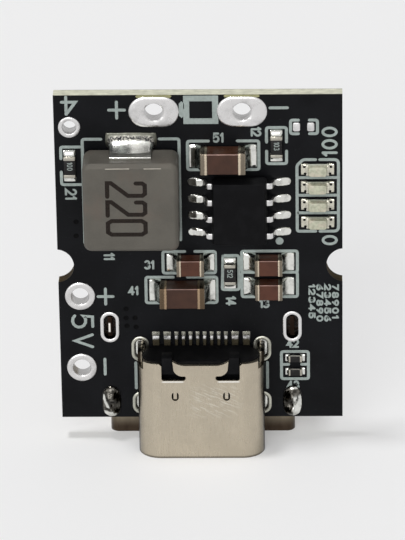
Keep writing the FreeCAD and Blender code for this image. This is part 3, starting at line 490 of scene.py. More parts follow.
def outlet_shade(finish, face, soft):
    """Painted shade and dark reflection on the side that faces the board, brown and darker towards the floor,
    and painted shade on the leg tips in the board with one bright sliver as a painted highlight.
    """
    x, z = finish.axis("X"), finish.axis("Z")
    # Painted shade and dark reflection: the side that faces the board is brown, lighter above and darker
    # towards the floor
    brown = finish.blend(soft, (0.098, 0.073, 0.052), (0.038, 0.024, 0.017))
    upper = finish.blend(soft, (0.29, 0.25, 0.185), (0.19, 0.16, 0.12))
    near = finish.height().rise(-2.2, -1.6)
    face = finish.blend(near, face, finish.blend(z.rise(1.45, 0.30), upper, brown))
    # Painted shade on the leg tips inside the board, and a painted highlight, the bright sliver
    sliver = abs(x - SLIVER_HIGHLIGHT[0]).rise(0.09, 0.04) * abs(z - SLIVER_HIGHLIGHT[1]).rise(0.40, 0.28)
    tip = finish.height().rise(-1.05, -0.95)
    return finish.blend(tip, face, finish.blend(sliver, (0.018, 0.011, 0.008), (0.90, 0.86, 0.80)))


def moulding_look(finish, grain_size):
    """Filled black moulding, matt and finely pitted, with paler rubbed patches."""
    pits = finish.noise(grain_size, 4.0, roughness=0.6)
    rubbed = finish.noise(1.1, 3.0).rise(0.45, 0.75)
    roughness = rubbed.rise(0, 1, finish.roughness, finish.roughness - 0.10) + (pits - 0.5) * 0.10
    return finish.tone(rubbed * 0.7 + pits * 0.3, 0.85, 1.6), roughness, pits, 0.010


# How bright the pressed body's sides are beside its top, as painted shade
IRON_SIDE_SHADE = 0.78


def iron_look(finish):
    """Pressed iron powder under thin lacquer: grey brown, cloudy, speckled, with painted shade that darkens
    its sides.
    """
    cloud = finish.noise(1.9, 4.0).rise(0.32, 0.68)
    speckle = finish.noise(0.085, 3.0, roughness=0.7)
    rust = finish.noise(2.6, 3.0).rise(0.52, 0.74)
    top = Spot("inductor_body").high.z
    # Painted shade: the sides go darker below the top face
    sides = finish.height().rise(top - 0.10, top - 0.40) * (1.0 - IRON_SIDE_SHADE)
    grey = finish.tone(cloud * 0.45 + speckle * 0.55, 0.80, 1.22)
    face = finish.blend(rust * 0.5, grey, scaled(finish.colour, 1.22, 0.98, 0.92))
    roughness = cloud.rise(0, 1, 0.44, 0.60) + (speckle - 0.5) * 0.16
    height = speckle * 0.7 + finish.cells(0.22) * 0.5
    return finish.blend(sides, face, (0.0, 0.0, 0.0)), roughness, height, 0.016


def ceramic_look(finish):
    """Fired brown ceramic, redder and darker by turns, dry and satin, with a painted highlight along one
    edge.
    """
    cloud = finish.noise(0.9, 4.0).rise(0.3, 0.7)
    dust = finish.noise(0.06, 3.0, roughness=0.7)
    # Painted highlight: the marked rounding along the upper edge is paler
    rubbed = finish.noted("edge") * cloud.rise(0, 1, 0.65, 1.0)
    pale = tuple(part + more for part, more in zip(finish.colour, (0.375, 0.255, 0.225)))
    colour = finish.blend(rubbed, finish.tone(cloud * 0.6 + dust * 0.4, 0.74, 1.28), pale)
    roughness = cloud.rise(0, 1, 0.28, 0.42) + (dust - 0.5) * 0.10
    return colour, roughness, dust * 0.7 + finish.noise(0.35, 2.0) * 0.5, 0.010


def resistor_look(finish):
    """Black overglaze on a pale alumina bar: black above, off-white at its foot."""
    glaze = finish.height().rise(0.30, 0.34)
    mottle = finish.noise(0.12, 3.0)
    colour = finish.blend(glaze, (0.55, 0.53, 0.48), finish.tone(mottle, 0.7, 1.6))
    return colour, mottle.rise(0.2, 0.8, 0.30, 0.52), mottle, 0.008


def lens_look(finish):
    """Milky yellow resin of an unlit light, clouded inside and faintly pink in places."""
    finish.put(Coat_Weight=0.35, Coat_Roughness=0.12, Alpha=0.88)
    cloud = finish.noise(0.22, 4.0).rise(0.3, 0.7)
    warm = finish.noise(0.5, 2.0).rise(0.42, 0.68)
    colour = finish.blend(warm * 0.45, finish.tone(cloud, 0.86, 1.12), (0.66, 0.55, 0.45))
    return colour, cloud.rise(0, 1, 0.24, 0.44), finish.noise(0.16, 3.0), 0.012


def gilt_look(finish):
    """Gilt contacts, wiped along their length and duller in places."""
    wiped = finish.noise(0.05, 3.0, (1.0, 1.0, 10.0))
    dull = finish.noise(0.5, 3.0).rise(0.45, 0.75)
    return finish.tone(dull, 1.05, 0.78), dull.rise(0, 1, 0.20, 0.38) + (wiped - 0.5) * 0.08, wiped, 0.003


def grained_look(finish, grain, tones, gloss, depth):
    """One even grain that changes the tone, the gloss and the surface together."""
    pattern = finish.noise(*grain)
    return finish.tone(pattern, *tones), pattern.rise(0.2, 0.8, *gloss), pattern, depth


def slot_shade_look(finish):
    """Dark brown film that stands for the shade in the open slots, as painted shade, glossy in places."""
    clot = finish.noise(0.20, 3.0).rise(0.35, 0.7)
    return finish.tone(clot, 0.4, 2.2), clot.rise(0, 1, 0.20, 0.50), clot, 0.02


def ink_look(finish):
    """Dark marking burnt into a body's top."""
    dots = finish.cells(0.09)
    return finish.tone(dots.rise(0.1, 0.6), 0.7, 2.2), dots.rise(0, 0.6, 0.5, 0.75), dots, 0.006


def finish_table():
    """Each finish: look, name, colour, roughness, share of metal, mirror level and the look's own values."""
    scene = bpy.context.scene
    board, metal, parts = scene.module_board, scene.module_metal, scene.module_parts
    tin = metal.plating_colour
    solder = metal.solder_colour
    black = parts.moulding_colour
    ceramic = parts.ceramic_colour
    small = scaled(ceramic, 1.55, 1.28, 1.20)
    dull = scaled(parts.cap_colour, 0.60, 0.50, 0.42)
    shell, rear = metal.shell_colour, metal.rear_colour
    return {
        "solder_mask": (lacquer_look, "solder_mask", board.mask_colour, 0.42, 0.0, 0.09, board.edge_colour),
        "print": (print_look, "board_print", board.print_colour, 0.62, 0.0, 0.3),
        "plating": (tin_look, "tinned_pad", tin, 0.30, 1.0, 0.5, 0.5, 0.008, 0.62),
        "inlet_slot": (tin_look, "tinned_inlet_slot", (0.48, 0.475, 0.41), 0.34, 1.0, 0.5, 0.5, 0.008, 0.40),
        "outlet_slot": (outlet_slot_look, "tinned_outlet_slot", tin, 0.34, 1.0, 0.5),
        "solder": (solder_look, "solder", solder, 0.18, 1.0, 0.5),
        "strip_solder": (strip_solder_look, "strip_solder", solder, 0.2, 1.0, 0.5),
        "strip": (strip_look, "inductor_strip", solder, 0.34, 1.0, 0.5),
        "leg_solder": (leg_solder_look, "leg_solder", solder, 0.16, 1.0, 0.5),
        "tin": (tin_look, "tin_plate", tin, 0.24, 1.0, 0.5, 0.2, 0.006),
        "resistor_end": (tin_look, "resistor_end", (0.42, 0.40, 0.345), 0.26, 1.0, 0.5, 0.15, 0.010),
        "light_end": (tin_look, "light_end", (0.60, 0.58, 0.49), 0.30, 1.0, 0.5, 0.12, 0.02),
        "tail": (tail_look, "contact_tail", tin, 0.30, 1.0, 0.5),
        "tail_solder": (tin_look, "tail_solder", (0.25, 0.245, 0.21), 0.30, 1.0, 0.5, 0.15, 0.012),
        "end_cap": (end_cap_look, "end_cap", parts.cap_colour, 0.30, 1.0, 0.5),
        "dull_end_cap": (end_cap_look, "dull_end_cap", dull, 0.30, 1.0, 0.5),
        "inlet_sheet": (sheet_look, "inlet_sheet", shell, 0.27, 1.0, 0.5, 0.90, inlet_shade),
        "outlet_sheet": (sheet_look, "outlet_sheet", rear, 0.33, 1.0, 0.5, 0.78, outlet_shade),
        "plate_sheet": (sheet_look, "mid_plate_sheet", (0.55, 0.54, 0.52), 0.30, 1.0, 0.5, 0.85),
        "moulding": (moulding_look, "black_moulding", black, 0.50, 0.0, 0.07, 0.09),
        "chip": (moulding_look, "chip_moulding", black, 0.55, 0.0, 0.07, 0.07),
        "iron": (iron_look, "pressed_iron", parts.iron_colour, 0.50, 0.1, 0.22),
        "ceramic": (ceramic_look, "capacitor_ceramic", ceramic, 0.30, 0.0, 0.28),
        "small_ceramic": (ceramic_look, "small_capacitor_ceramic", small, 0.30, 0.0, 0.28),
        "resistor": (resistor_look, "resistor_glaze", (0.010, 0.009, 0.009), 0.38, 0.0, 0.2),
        "lens": (lens_look, "light_lens", parts.lens_colour, 0.32, 0.0, 0.5),
        "gilt": (gilt_look, "gilt_contact", metal.contact_colour, 0.26, 1.0, 0.5),
        "ink": (ink_look, "burnt_mark", (0.010, 0.0075, 0.0062), 0.62, 0.0, 0.10),
        # Painted shade: the dark film that fills the open slots
        "flux": (slot_shade_look, "dried_flux", (0.020, 0.012, 0.008), 0.35, 0.0, 0.25),
        "light_base": (grained_look, "light_base", (0.55, 0.56, 0.47), 0.55, 0.0, 0.5,
                       (0.05, 2.0, (1.0, 6.0, 1.0)), (0.8, 1.1), (0.45, 0.65), 0.006),
        "bare_laminate": (grained_look, "bare_laminate", (0.33, 0.32, 0.17), 0.6, 0.0, 0.2,
                          (0.10, 3.0, (6.0, 1.0, 1.0)), (0.6, 1.35), (0.5, 0.75), 0.01),
        "via": (grained_look, "covered_hole", (0.0012, 0.0012, 0.0014), 0.5, 0.0, 0.06,
                (0.08, 2.0), (0.5, 2.0), (0.4, 0.6), 0.004),
        "scratch": (grained_look, "rubbed_edge", (0.42, 0.39, 0.33), 0.4, 0.0, 0.4,
                    (0.12, 3.0, (4.0, 1.0, 1.0)), (0.35, 1.5), (0.3, 0.6), 0.006),
    }


FINISHES = {}


def finish_of(name):
    """A finish by name, made when it is first asked for."""
    if name not in FINISHES:
        look, title, colour, roughness, metallic, specular, *own = finish_table()[name]
        finish = Finish(title, colour, roughness, metallic, specular)
        colour, roughness, height, depth = look(finish, *own)
        finish.put(Base_Color=colour, Roughness=roughness)
        finish.relief(height, depth)
        FINISHES[name] = finish.material
    return FINISHES[name]


# Making pieces
def add_piece(name, form, finish, stands_for=(), crease=32.0):
    """Stands a flat drawing up as a piece of the module. The form is a bmesh, or a mesh that is finished."""
    if isinstance(form, bmesh.types.BMesh):
        mesh = bpy.data.meshes.new(name)
        form.to_mesh(mesh)
        form.free()
    else:
        mesh = form
        mesh.name = name
    mesh.transform(BOARD_TO_MODEL)
    mesh.materials.clear()
    mesh.materials.append(finish_of(finish))
    for face in mesh.polygons:
        face.use_smooth = True
        face.material_index = 0
    mesh.set_sharp_from_angle(angle=math.radians(crease))
    piece = bpy.data.objects.new(name, mesh)
    bpy.context.scene.collection.objects.link(piece)
    normals = piece.modifiers.new("Even normals", "WEIGHTED_NORMAL")
    normals.keep_sharp = True
    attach(piece, "root")
    if stands_for:
        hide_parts(*stands_for)
    return piece


def dress(node, finish):
    """Gives a node of the frame its finish."""
    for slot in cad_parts[node].material_slots:
        slot.material = finish_of(finish)


def copied(node):
    """The node's solids on the flat board, with their facets joined into whole faces."""
    form = bmesh.new()
    form.from_mesh(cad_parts[node].data)
    form.transform(MODEL_TO_BOARD)
    bmesh.ops.remove_doubles(form, verts=form.verts, dist=0.0005)
    bmesh.ops.dissolve_limit(form, angle_limit=math.radians(0.6), verts=form.verts, edges=form.edges)
    return form


def soften(form, rounding, segments=2, angle=30.0):
    """Rounds every edge that is sharper than the angle."""
    sharp = [edge for edge in form.edges
             if len(edge.link_faces) == 2 and edge.calc_face_angle(0.0) > math.radians(angle)]
    bmesh.ops.bevel(form, geom=sharp, offset=rounding, segments=segments, profile=0.5,
                    affect="EDGES", clamp_overlap=True)
    return form


def rounded_copy(node, finish, rounding, segments=2):
    """A piece in the shape of the node, with the small roundings that a real one has."""
    return add_piece(node + "_piece", soften(copied(node), rounding, segments), finish, (node,))


def bent_path(points, bend, steps=5, closed=False):
    """The path with each corner rounded."""
    path = [Vector(point) for point in points]
    count = len(path)
    result = [] if closed else [path[0]]
    for index in range(0 if closed else 1, count if closed else count - 1):
        before, corner, after = path[index - 1], path[index], path[(index + 1) % count]
        start = corner + (before - corner).normalized() * bend
        end = corner + (after - corner).normalized() * bend
        for step in range(steps + 1):
            share = step / steps
            result.append(start * (1 - share) ** 2 + corner * 2 * share * (1 - share) + end * share ** 2)
    return result if closed else result + [path[-1]]


def ribbon(form, points, width, low, high, closed=False, caps=4):
    """A flat strip along a path, with mitred corners and round ends."""
    path = [Vector(point).to_2d() for point in points]
    count = len(path)
    corners = []
    for index, point in enumerate(path):
        ways = []
        if closed or index:
            ways.append((point - path[index - 1]).normalized())
        if closed or index + 1 < count:
            ways.append((path[(index + 1) % count] - point).normalized())
        along = sum(ways, Vector((0, 0))).normalized()
        out = Vector((-along.y, along.x)) * (width / 2 / max(0.4, along.dot(ways[0])))
        sides = (point + out, point - out)
        corners.append([form.verts.new((*side, z)) for z in (low, high) for side in sides])
    pairs = zip(corners, corners[1:] + corners[:1] if closed else corners[1:])
    for (left, right, left_top, right_top), (next_left, next_right, next_left_top, next_right_top) in pairs:
        form.faces.new((right_top, next_right_top, next_left_top, left_top))
        form.faces.new((left, next_left, next_right, right))
        form.faces.new((left_top, next_left_top, next_left, left))
        form.faces.new((right, next_right, next_right_top, right_top))
    if closed:
        return
    for index, start, end in ((0, 0, 1), (-1, 1, 0)):
        ring = corners[index]
        arm = ring[start].co.to_2d() - path[index]
        lower = [ring[start]]
        upper = [ring[start + 2]]
        for step in range(1, caps):
            spun = path[index] + Matrix.Rotation(math.pi * step / caps, 2) @ arm
            lower.append(form.verts.new((*spun, low)))
            upper.append(form.verts.new((*spun, high)))
        lower.append(ring[end])
        upper.append(ring[end + 2])
        form.faces.new(upper)
        form.faces.new(lower[::-1])
        for quad in zip(lower, lower[1:], upper[1:], upper):
            form.faces.new(quad)


def mound(form, x_low, x_high, y_low, y_high, height, base=0.0, steps=(16, 14), roundness=0.35):
    """A closed drop that wets a rounded patch. height gives its rise at a point of the patch."""
    columns, rows = steps
    grid = []
    for column in range(columns + 1):
        line = []
        for row in range(rows + 1):
            a = math.sin(math.pi / 2 * (2 * column / columns - 1))
            b = math.sin(math.pi / 2 * (2 * row / rows - 1))
            u = a * math.sqrt(1 - roundness * b * b / 2)
            v = b * math.sqrt(1 - roundness * a * a / 2)
            x = (x_low + x_high) / 2 + u * (x_high - x_low) / 2
            y = (y_low + y_high) / 2 + v * (y_high - y_low) / 2
            rim = min(1.0, (1 - max(abs(a), abs(b))) / 0.10) ** 0.5
            line.append(form.verts.new((x, y, base + rim * height(x, y))))
        grid.append(line)
    for near, far in zip(grid, grid[1:]):
        for row in range(rows):
            form.faces.new((near[row], far[row], far[row + 1], near[row + 1]))
    edge = [line[0] for line in grid[:-1]] + grid[-1][:-1]
    edge += [line[-1] for line in grid[:0:-1]] + grid[0][:0:-1]
    form.faces.new(edge[::-1])


def shift(form, first, turn=0.0, offset=(0, 0, 0), mirror=False):
    """Turns and moves what was added to the form after its first vertices."""
    form.verts.ensure_lookup_table()
    added = form.verts[first:]
    if mirror:
        bmesh.ops.scale(form, vec=(-1, 1, 1), verts=added)
        faces = {face for vert in added for face in vert.link_faces}
        bmesh.ops.reverse_faces(form, faces=list(faces))
    bmesh.ops.rotate(form, verts=added, matrix=Matrix.Rotation(turn, 3, "Z"))
    bmesh.ops.translate(form, verts=added, vec=offset)


def smooth_step(low, high, value):
    """Goes smoothly from 0 to 1 as the value goes from low to high."""
    share = min(1.0, max(0.0, (value - low) / (high - low)))
    return share * share * (3 - 2 * share)


def stadium_reach(width, length, angle):
    """How far a slot's outline is from its centre in one direction."""
    across = abs(math.cos(angle))
    along = abs(math.sin(angle))
    if width > length:
        width, length = length, width
        across, along = along, across
    radius = width / 2
    straight = (length - width) / 2
    if across > 1e-9 and radius / across * along <= straight:
        return radius / across
    return straight * along + math.sqrt(max(0.0, radius ** 2 - (straight * across) ** 2))


def plated_ring(form, x, y, hole, pad, dome, steps=72):
    """Tinned copper round a hole: a softly domed pad on each face, joined by the plated wall."""
    wall = 0.05
    profile = []
    for base, way in ((0.0, dome), (-BOARD_THICKNESS, -dome)):
        rise = [(0.0, 0.35), (0.05, 0.75)]
        rise += [(share, 0.9 + 0.1 * math.sin(math.pi * share)) for share in (0.2, 0.5, 0.8)]
        rise += [(0.93, 0.72), (0.98, 0.4)]
        face = [(-1.0, base), *((share, base + way * level) for share, level in rise), (1.0, base)]
        profile += face if way > 0 else face[::-1]
    rings = []
    for step in range(steps):
        angle = 2 * math.pi * step / steps
        inner = stadium_reach(*hole, angle)
        outer = stadium_reach(*pad, angle)
        ring = []
        for share, z in profile:
            reach = inner + wall if share < 0 else inner + (outer - inner) * share
            ring.append(form.verts.new((x + reach * math.cos(angle), y + reach * math.sin(angle), z)))
        rings.append(ring)
    # The profile runs barrel, hole edge, pad rim on the front, and pad rim, hole edge, barrel on the back.
    front = profile.index((1.0, 0.0))
    last = len(profile) - 1
    loop = [*range(1, front + 1), 0, last, *range(front + 1, last)]
    for ring, following in zip(rings, rings[1:] + rings[:1]):
        for one, two in zip(loop, loop[1:] + loop[:1]):
            form.faces.new((ring[one], ring[two], following[two], following[one]))


# Repeating with geometry nodes
class Tree(Nodes):
    """A geometry node tree that repeats one piece."""

    def __init__(self, name, *inputs):
        super().__init__(bpy.data.node_groups.new(name, "GeometryNodeTree"))
        self.tree.interface.new_socket("Geometry", in_out="OUTPUT", socket_type="NodeSocketGeometry")
        self.sockets = {}
        for label, kind in (*inputs, ("Piece", "Object"), ("Finish", "Material")):
            socket = self.tree.interface.new_socket(label, in_out="INPUT", socket_type="NodeSocket" + kind)
            self.sockets[label] = socket.identifier
        self.entry = self.tree.nodes.new("NodeGroupInput")
        self.exit = self.tree.nodes.new("NodeGroupOutput")

    def given(self, label):
        return Value(self, self.entry.outputs[label])

    def copies(self, points):
        """The piece on each of the points."""
        piece = self.node("GeometryNodeObjectInfo", {"Object": self.given("Piece")}, "Geometry")
        return self.node("GeometryNodeInstanceOnPoints", {"Points": points, "Instance": piece})

    def finish(self, geometry):
        solid = self.node("GeometryNodeRealizeInstances", {"Geometry": geometry})
        painted = self.node("GeometryNodeSetMaterial", {"Geometry": solid, "Material": self.given("Finish")})
        self.feed(self.exit.inputs[0], painted)
        return self

    def run(self, name, form, finish, places=(), **values):
        """What the tree makes of the form, as a plain mesh on the flat board."""
        pattern, host = (bpy.data.objects.new(title, bpy.data.meshes.new(title))
                         for title in ("pattern", "host"))
        form.to_mesh(pattern.data)
        form.free()
        host.data.from_pydata([(*place, 0.0) for place in places], [], [])
        for thing in (pattern, host):
            bpy.context.scene.collection.objects.link(thing)
        modifier = host.modifiers.new("Repeat", "NODES")
        modifier.node_group = self.tree
        for label, value in {"Piece": pattern, "Finish": finish_of(finish), **values}.items():
            modifier[self.sockets[label]] = value
        graph = bpy.context.evaluated_depsgraph_get()
        result = bpy.data.meshes.new_from_object(host.evaluated_get(graph))
        result.name = name
        for thing in (host, pattern):
            mesh = thing.data
            bpy.data.objects.remove(thing)
            bpy.data.meshes.remove(mesh)
        return result


def row_tree():
    """Copies of one piece in a row up the board, and again on the other side, turned half round."""
    tree = Tree("Row of pieces", ("Count", "Int"), ("Pitch", "Float"))
    count, pitch = tree.given("Count"), tree.given("Pitch")
    first = tree.node("CombineXYZ", {"Y": (count - 1.0) * pitch * -0.5})
    stride = tree.node("CombineXYZ", {"Y": pitch})
    line = {"Count": count, "Start Location": first, "Offset": stride}
    row = tree.copies(tree.node("GeometryNodeMeshLine", line))
    other = tree.node("GeometryNodeTransform", {"Geometry": row, "Rotation": (0, 0, math.pi)})
    both = tree.node("GeometryNodeJoinGeometry", {0: row})
    tree.feed(both.socket.node.inputs[0], other)
    return tree.finish(both)


def scatter_tree():
    """Copies of one piece on every point of the host."""
    tree = Tree("Pieces on points", ("Geometry", "Geometry"))
    return tree.finish(tree.copies(tree.given("Geometry")))


# Printed signs, drawn as strokes in a cell one unit high
def oval(x, y, x_radius, y_radius, start=0, end=360, steps=18):
    """Points round an oval, from one angle to another in degrees."""
    angles = [math.radians(start + (end - start) * step / steps) for step in range(steps + 1)]
    return [(x + x_radius * math.cos(angle), y + y_radius * math.sin(angle)) for angle in angles]


SIGN_STROKES = {
    "0": [oval(0.3, 0.5, 0.3, 0.5)[:-1]],
    "1": [[(0.0, 0.76), (0.2, 1.0)], [(0.2, 1.0), (0.2, 0.0)]],
    "2": [oval(0.3, 0.70, 0.3, 0.30, 165, -35) + [(0.0, 0.0), (0.6, 0.0)]],
    "3": [oval(0.28, 0.74, 0.27, 0.26, 150, -90, 9) + oval(0.28, 0.24, 0.32, 0.24, 90, -150, 9)],
    "4": [[(0.62, 0.3), (0.0, 0.3), (0.42, 1.0)], [(0.42, 1.0), (0.42, 0.0)]],
    "5": [[(0.56, 1.0), (0.08, 1.0), (0.04, 0.55)] + oval(0.27, 0.33, 0.32, 0.33, 125, -140, 10)],
    "6": [[(0.5, 1.0), (0.12, 0.55)] + oval(0.3, 0.28, 0.3, 0.28, 150, -200, 12)],
    "7": [[(0.0, 1.0), (0.6, 1.0), (0.2, 0.0)]],
    "8": [oval(0.3, 0.75, 0.25, 0.25)[:-1], oval(0.3, 0.25, 0.3, 0.25)[:-1]],
    "9": [oval(0.3, 0.72, 0.3, 0.28, -20, 330, 16), [(0.59, 0.62), (0.2, 0.0)]],
    "V": [[(0.0, 1.0), (0.3, 0.0), (0.6, 1.0)]],
}
# The same for the inductor's mark, with straight corners
MARK_STROKES = {
    "0": [[(0.10, 0.0), (0.50, 0.0), (0.60, 0.10), (0.60, 0.90), (0.50, 1.0), (0.10, 1.0), (0.0, 0.90),
           (0.0, 0.10)]],
    "2": [[(0.02, 0.76), (0.02, 0.93), (0.10, 1.0), (0.48, 1.0), (0.56, 0.93), (0.56, 0.55), (0.0, 0.10),
           (0.0, 0.0), (0.60, 0.0)]],
}
CLOSED_SIGNS = ("0", "8")
SIGN_WIDTHS = {"1": 0.2}


def draw_signs(form, text, x, y, height, turn, stroke, width, gap=0.28, low=0.0, high=PRINT_HEIGHT,
               strokes=SIGN_STROKES):
    """Writes signs that start at a corner and run in the direction of the turn, in degrees."""
    spin = Matrix.Rotation(math.radians(turn), 2)
    pen = 0.0
    for sign in text:
        for level, stroke_points in enumerate(strokes[sign]):
            placed = []
            for across, up in stroke_points:
                offset = spin @ Vector((pen + across * height * width, up * height))
                placed.append((x + offset.x, y + offset.y))
            ribbon(form, placed, stroke, low, high + level * PRINT_STEP, sign in CLOSED_SIGNS)
        pen += (SIGN_WIDTHS.get(sign, 0.6) * width + gap) * height


def plus_sign(form, x, y, width, height, stroke):
    ribbon(form, [(x - width / 2, y), (x + width / 2, y)], stroke, 0, PRINT_HEIGHT)
    ribbon(form, [(x, y - height / 2), (x, y + height / 2)], stroke, 0, PRINT_HEIGHT + PRINT_STEP)


# Printed lines: each is a path in board millimetres
def box_path(x_low, y_low, x_high, y_high):
    return [(x_low, y_low), (x_high, y_low), (x_high, y_high), (x_low, y_high)]


OUTLINE_BOXES = (
    (2.93, 11.34, 6.83, 12.98),
    (2.93, 9.44, 6.83, 11.34),
)
OUTLINE_PATHS = (
    [(0.71, 21.38), (-0.75, 21.38), (-0.75, 19.22), (0.2, 19.22)],
    [(2.71, 21.38), (4.2, 21.38), (4.2, 19.22), (3.2, 19.22)],
    [(-1.07, 12.97), (-2.6, 12.97), (-2.6, 11.30), (1.08, 11.30), (1.08, 12.97), (-0.35, 12.97)],
    [(-1.9, 10.99), (-3.83, 10.99), (-3.83, 9.0), (1.16, 9.0), (1.16, 10.99), (-0.9, 10.99)],
    [(4.74, 21.28), (4.74, 22.37), (6.12, 22.37), (6.12, 21.28)],
    [(4.74, 20.60), (4.74, 19.65), (6.12, 19.65), (6.12, 20.60)],
    [(-9.56, 20.1), (-9.56, 20.98), (-8.2, 20.98)],
    [(-9.56, 19.1), (-9.56, 18.13), (-8.2, 18.13)],
    [(1.62, 12.64), (1.54, 10.0), (2.72, 10.0), (2.72, 12.64), (1.62, 12.64)],
    [(6.95, 22.92), (6.41, 22.92), (6.41, 21.9), (6.95, 21.9)],
    [(7.72, 22.92), (8.27, 22.92), (8.27, 21.9), (7.72, 21.9)],
    [(5.67, 4.06), (5.67, 5.14), (7.58, 5.14), (7.58, 4.06)],
    [(5.67, 4.20), (5.67, 2.99), (7.58, 2.99), (7.58, 4.20)],
    [(5.67, 4.13), (6.18, 4.13)],
    [(7.10, 4.13), (7.58, 4.13)],
    [(-6.75, 21.56), (-8.05, 21.56), (-8.05, 13.57), (-5.9, 13.57)],
    [(-2.7, 21.56), (-1.33, 21.56), (-1.33, 13.87)],
    [(-4.67, 4.3), (-4.67, 2.3)],
    [(4.67, 4.3), (4.67, 2.3)],
)
CORNER_BEND = 0.16
LIGHT_BOX = (6.84, 14.49, 9.72, 19.94)
LIGHT_CORNER = 0.42
LIGHT_GAP = 0.3
BATTERY_BOX = (-0.79, 22.88, 1.21, 24.58)
BATTERY_NUB = (-1.12, 23.3, 24.2)
# Crossing lines of one print lie at levels this far apart
PRINT_STEP = 0.0015
# Poles: place and size of each plus sign, and the line of each minus sign
PLUS_PLACES = ((-6.70, 9.50, 1.27, 1.40), (-5.61, 23.74, 1.31, 1.42))
MINUS_LINES = (((-6.86, 3.4), (-6.86, 4.6)), ((5.0, 23.85), (6.2, 23.85)))
# Large signs: sign, x, y, height, turn and width
SIGN_PLACES = (
    ("5", -9.08, 8.05, 1.42, -90, 1.12),
    ("V", -8.92, 6.52, 1.22, -90, 1.30),
    ("4", -8.45, 24.74, 1.30, 180, 1.2),
)


def make_outlines(look):
    """The printed outlines of the parts, and the box of the four lights with its bars."""
    form = bmesh.new()
    width = look.line_width / MM
    paths = [(bent_path(path, CORNER_BEND, 3), False) for path in OUTLINE_PATHS]
    paths += [(bent_path(box_path(*box), CORNER_BEND, 3, True), True) for box in OUTLINE_BOXES]
    x_low, y_low, x_high, y_high = LIGHT_BOX
    middle = (x_low + x_high) / 2
    before, after = middle - LIGHT_GAP / 2, middle + LIGHT_GAP / 2
    left = [(before, y_high), (x_low + LIGHT_CORNER, y_high), (x_low, y_high - LIGHT_CORNER),
            (x_low, y_low), (before, y_low)]
    right = [(after, y_high), (x_high, y_high), (x_high, y_low), (after, y_low)]
    paths += [(bent_path(left, CORNER_BEND, 3), False), (bent_path(right, 2 * CORNER_BEND, 4), False)]
    lights = [Spot(f"status_light_{number}_base").centre.y for number in (1, 2, 3, 4)]
    for above, below in zip(lights, lights[1:]):
        y = (above + below) / 2
        paths.append(([(x_low + width / 2, y), (x_high - width / 2, y)], False))
    for index, (path, closed) in enumerate(paths):
        ribbon(form, path, width, 0, PRINT_HEIGHT + PRINT_STEP * (index % 4), closed)
    add_piece("print_outlines", form, "print")


def make_signs(look):
    """The signs for the poles, the voltage, the key and the battery."""
    form = bmesh.new()
    stroke = look.line_width / MM
    for x, y, width, height in PLUS_PLACES:
        plus_sign(form, x, y, width - stroke, height - stroke, stroke)
    for line in MINUS_LINES:
        ribbon(form, line, stroke, 0, PRINT_HEIGHT)
    for sign, x, y, height, turn, width in SIGN_PLACES:
        draw_signs(form, sign, x, y, height, turn, stroke, width)
    add_piece("print_signs", form, "print")
    battery = bmesh.new()
    ribbon(battery, box_path(*BATTERY_BOX), 0.42, 0, PRINT_HEIGHT, True)
    x, y_low, y_high = BATTERY_NUB
    ribbon(battery, [(x, y_low), (x, y_high)], 0.36, 0, PRINT_HEIGHT, caps=2)
    add_piece("print_battery_sign", battery, "print")


# Plain numbers beside the parts: text, x, y, height and turn
NUMBER_STROKE = 0.15
PART_NUMBERS = (
    ("21", -9.28, 17.75, 0.70, -90), ("11", -6.70, 12.82, 0.66, -90), ("31", -3.86, 11.66, 0.58, 0),
    ("41", -5.02, 9.66, 0.58, 0), ("51", 1.08, 21.32, 0.62, 0), ("12", 3.72, 22.36, 0.60, -90),
    ("13", 4.2, 8.62, 0.60, 0), ("14", 1.84, 9.42, 0.60, -90), ("42", 6.10, 5.50, 0.56, 0),
    ("43", 6.12, 2.22, 0.56, 0),
)
SCALE_HEIGHT = 0.94
SCALE_STROKE = 0.19
BLOCK_ROWS = ("12345", "67890", "23456", "78901")
BLOCK_PLACE = (7.66, 10.34)
BLOCK_PITCH = 0.55
BLOCK_HEIGHT = 0.38


def make_numbers():
    """Plain numbers by the parts and the lights, and the printed block at the right."""
    form = bmesh.new()
    draw_signs(form, "100", 9.58, 20.26, SCALE_HEIGHT, 90, SCALE_STROKE, 1.05, 0.36)
    draw_signs(form, "0", 9.58, 13.5, SCALE_HEIGHT, 90, SCALE_STROKE, 1.05)
    for text, x, y, height, turn in PART_NUMBERS:
        draw_signs(form, text, x, y, height, turn, NUMBER_STROKE, 0.9, 0.26)
    x, y = BLOCK_PLACE
    for row, text in enumerate(BLOCK_ROWS):
        draw_signs(form, text, x + BLOCK_PITCH * row, y, BLOCK_HEIGHT, -90, 0.13, 1.6, 0.64)
    add_piece("print_numbers", form, "print")


VIA_PLACES = ((-8.64, 15.27), (-8.66, 14.19), (-5.28, 8.52), (-5.29, 7.81), (-5.24, 7.19), (-4.66, 7.81),
              (-4.60, 7.10))
VIA_RADIUS = 0.19
VIA_SIDES = 20
# From the rim inwards: the share of the radius, and the height
VIA_PROFILE = ((1.0, 0.0), (0.92, 0.016), (0.72, 0.020), (0.55, 0.012), (0.34, 0.003))
# Place and radius of the printed dot by the chip's first lead
FIRST_LEAD_DOT = (5.59, 13.74, 0.28)


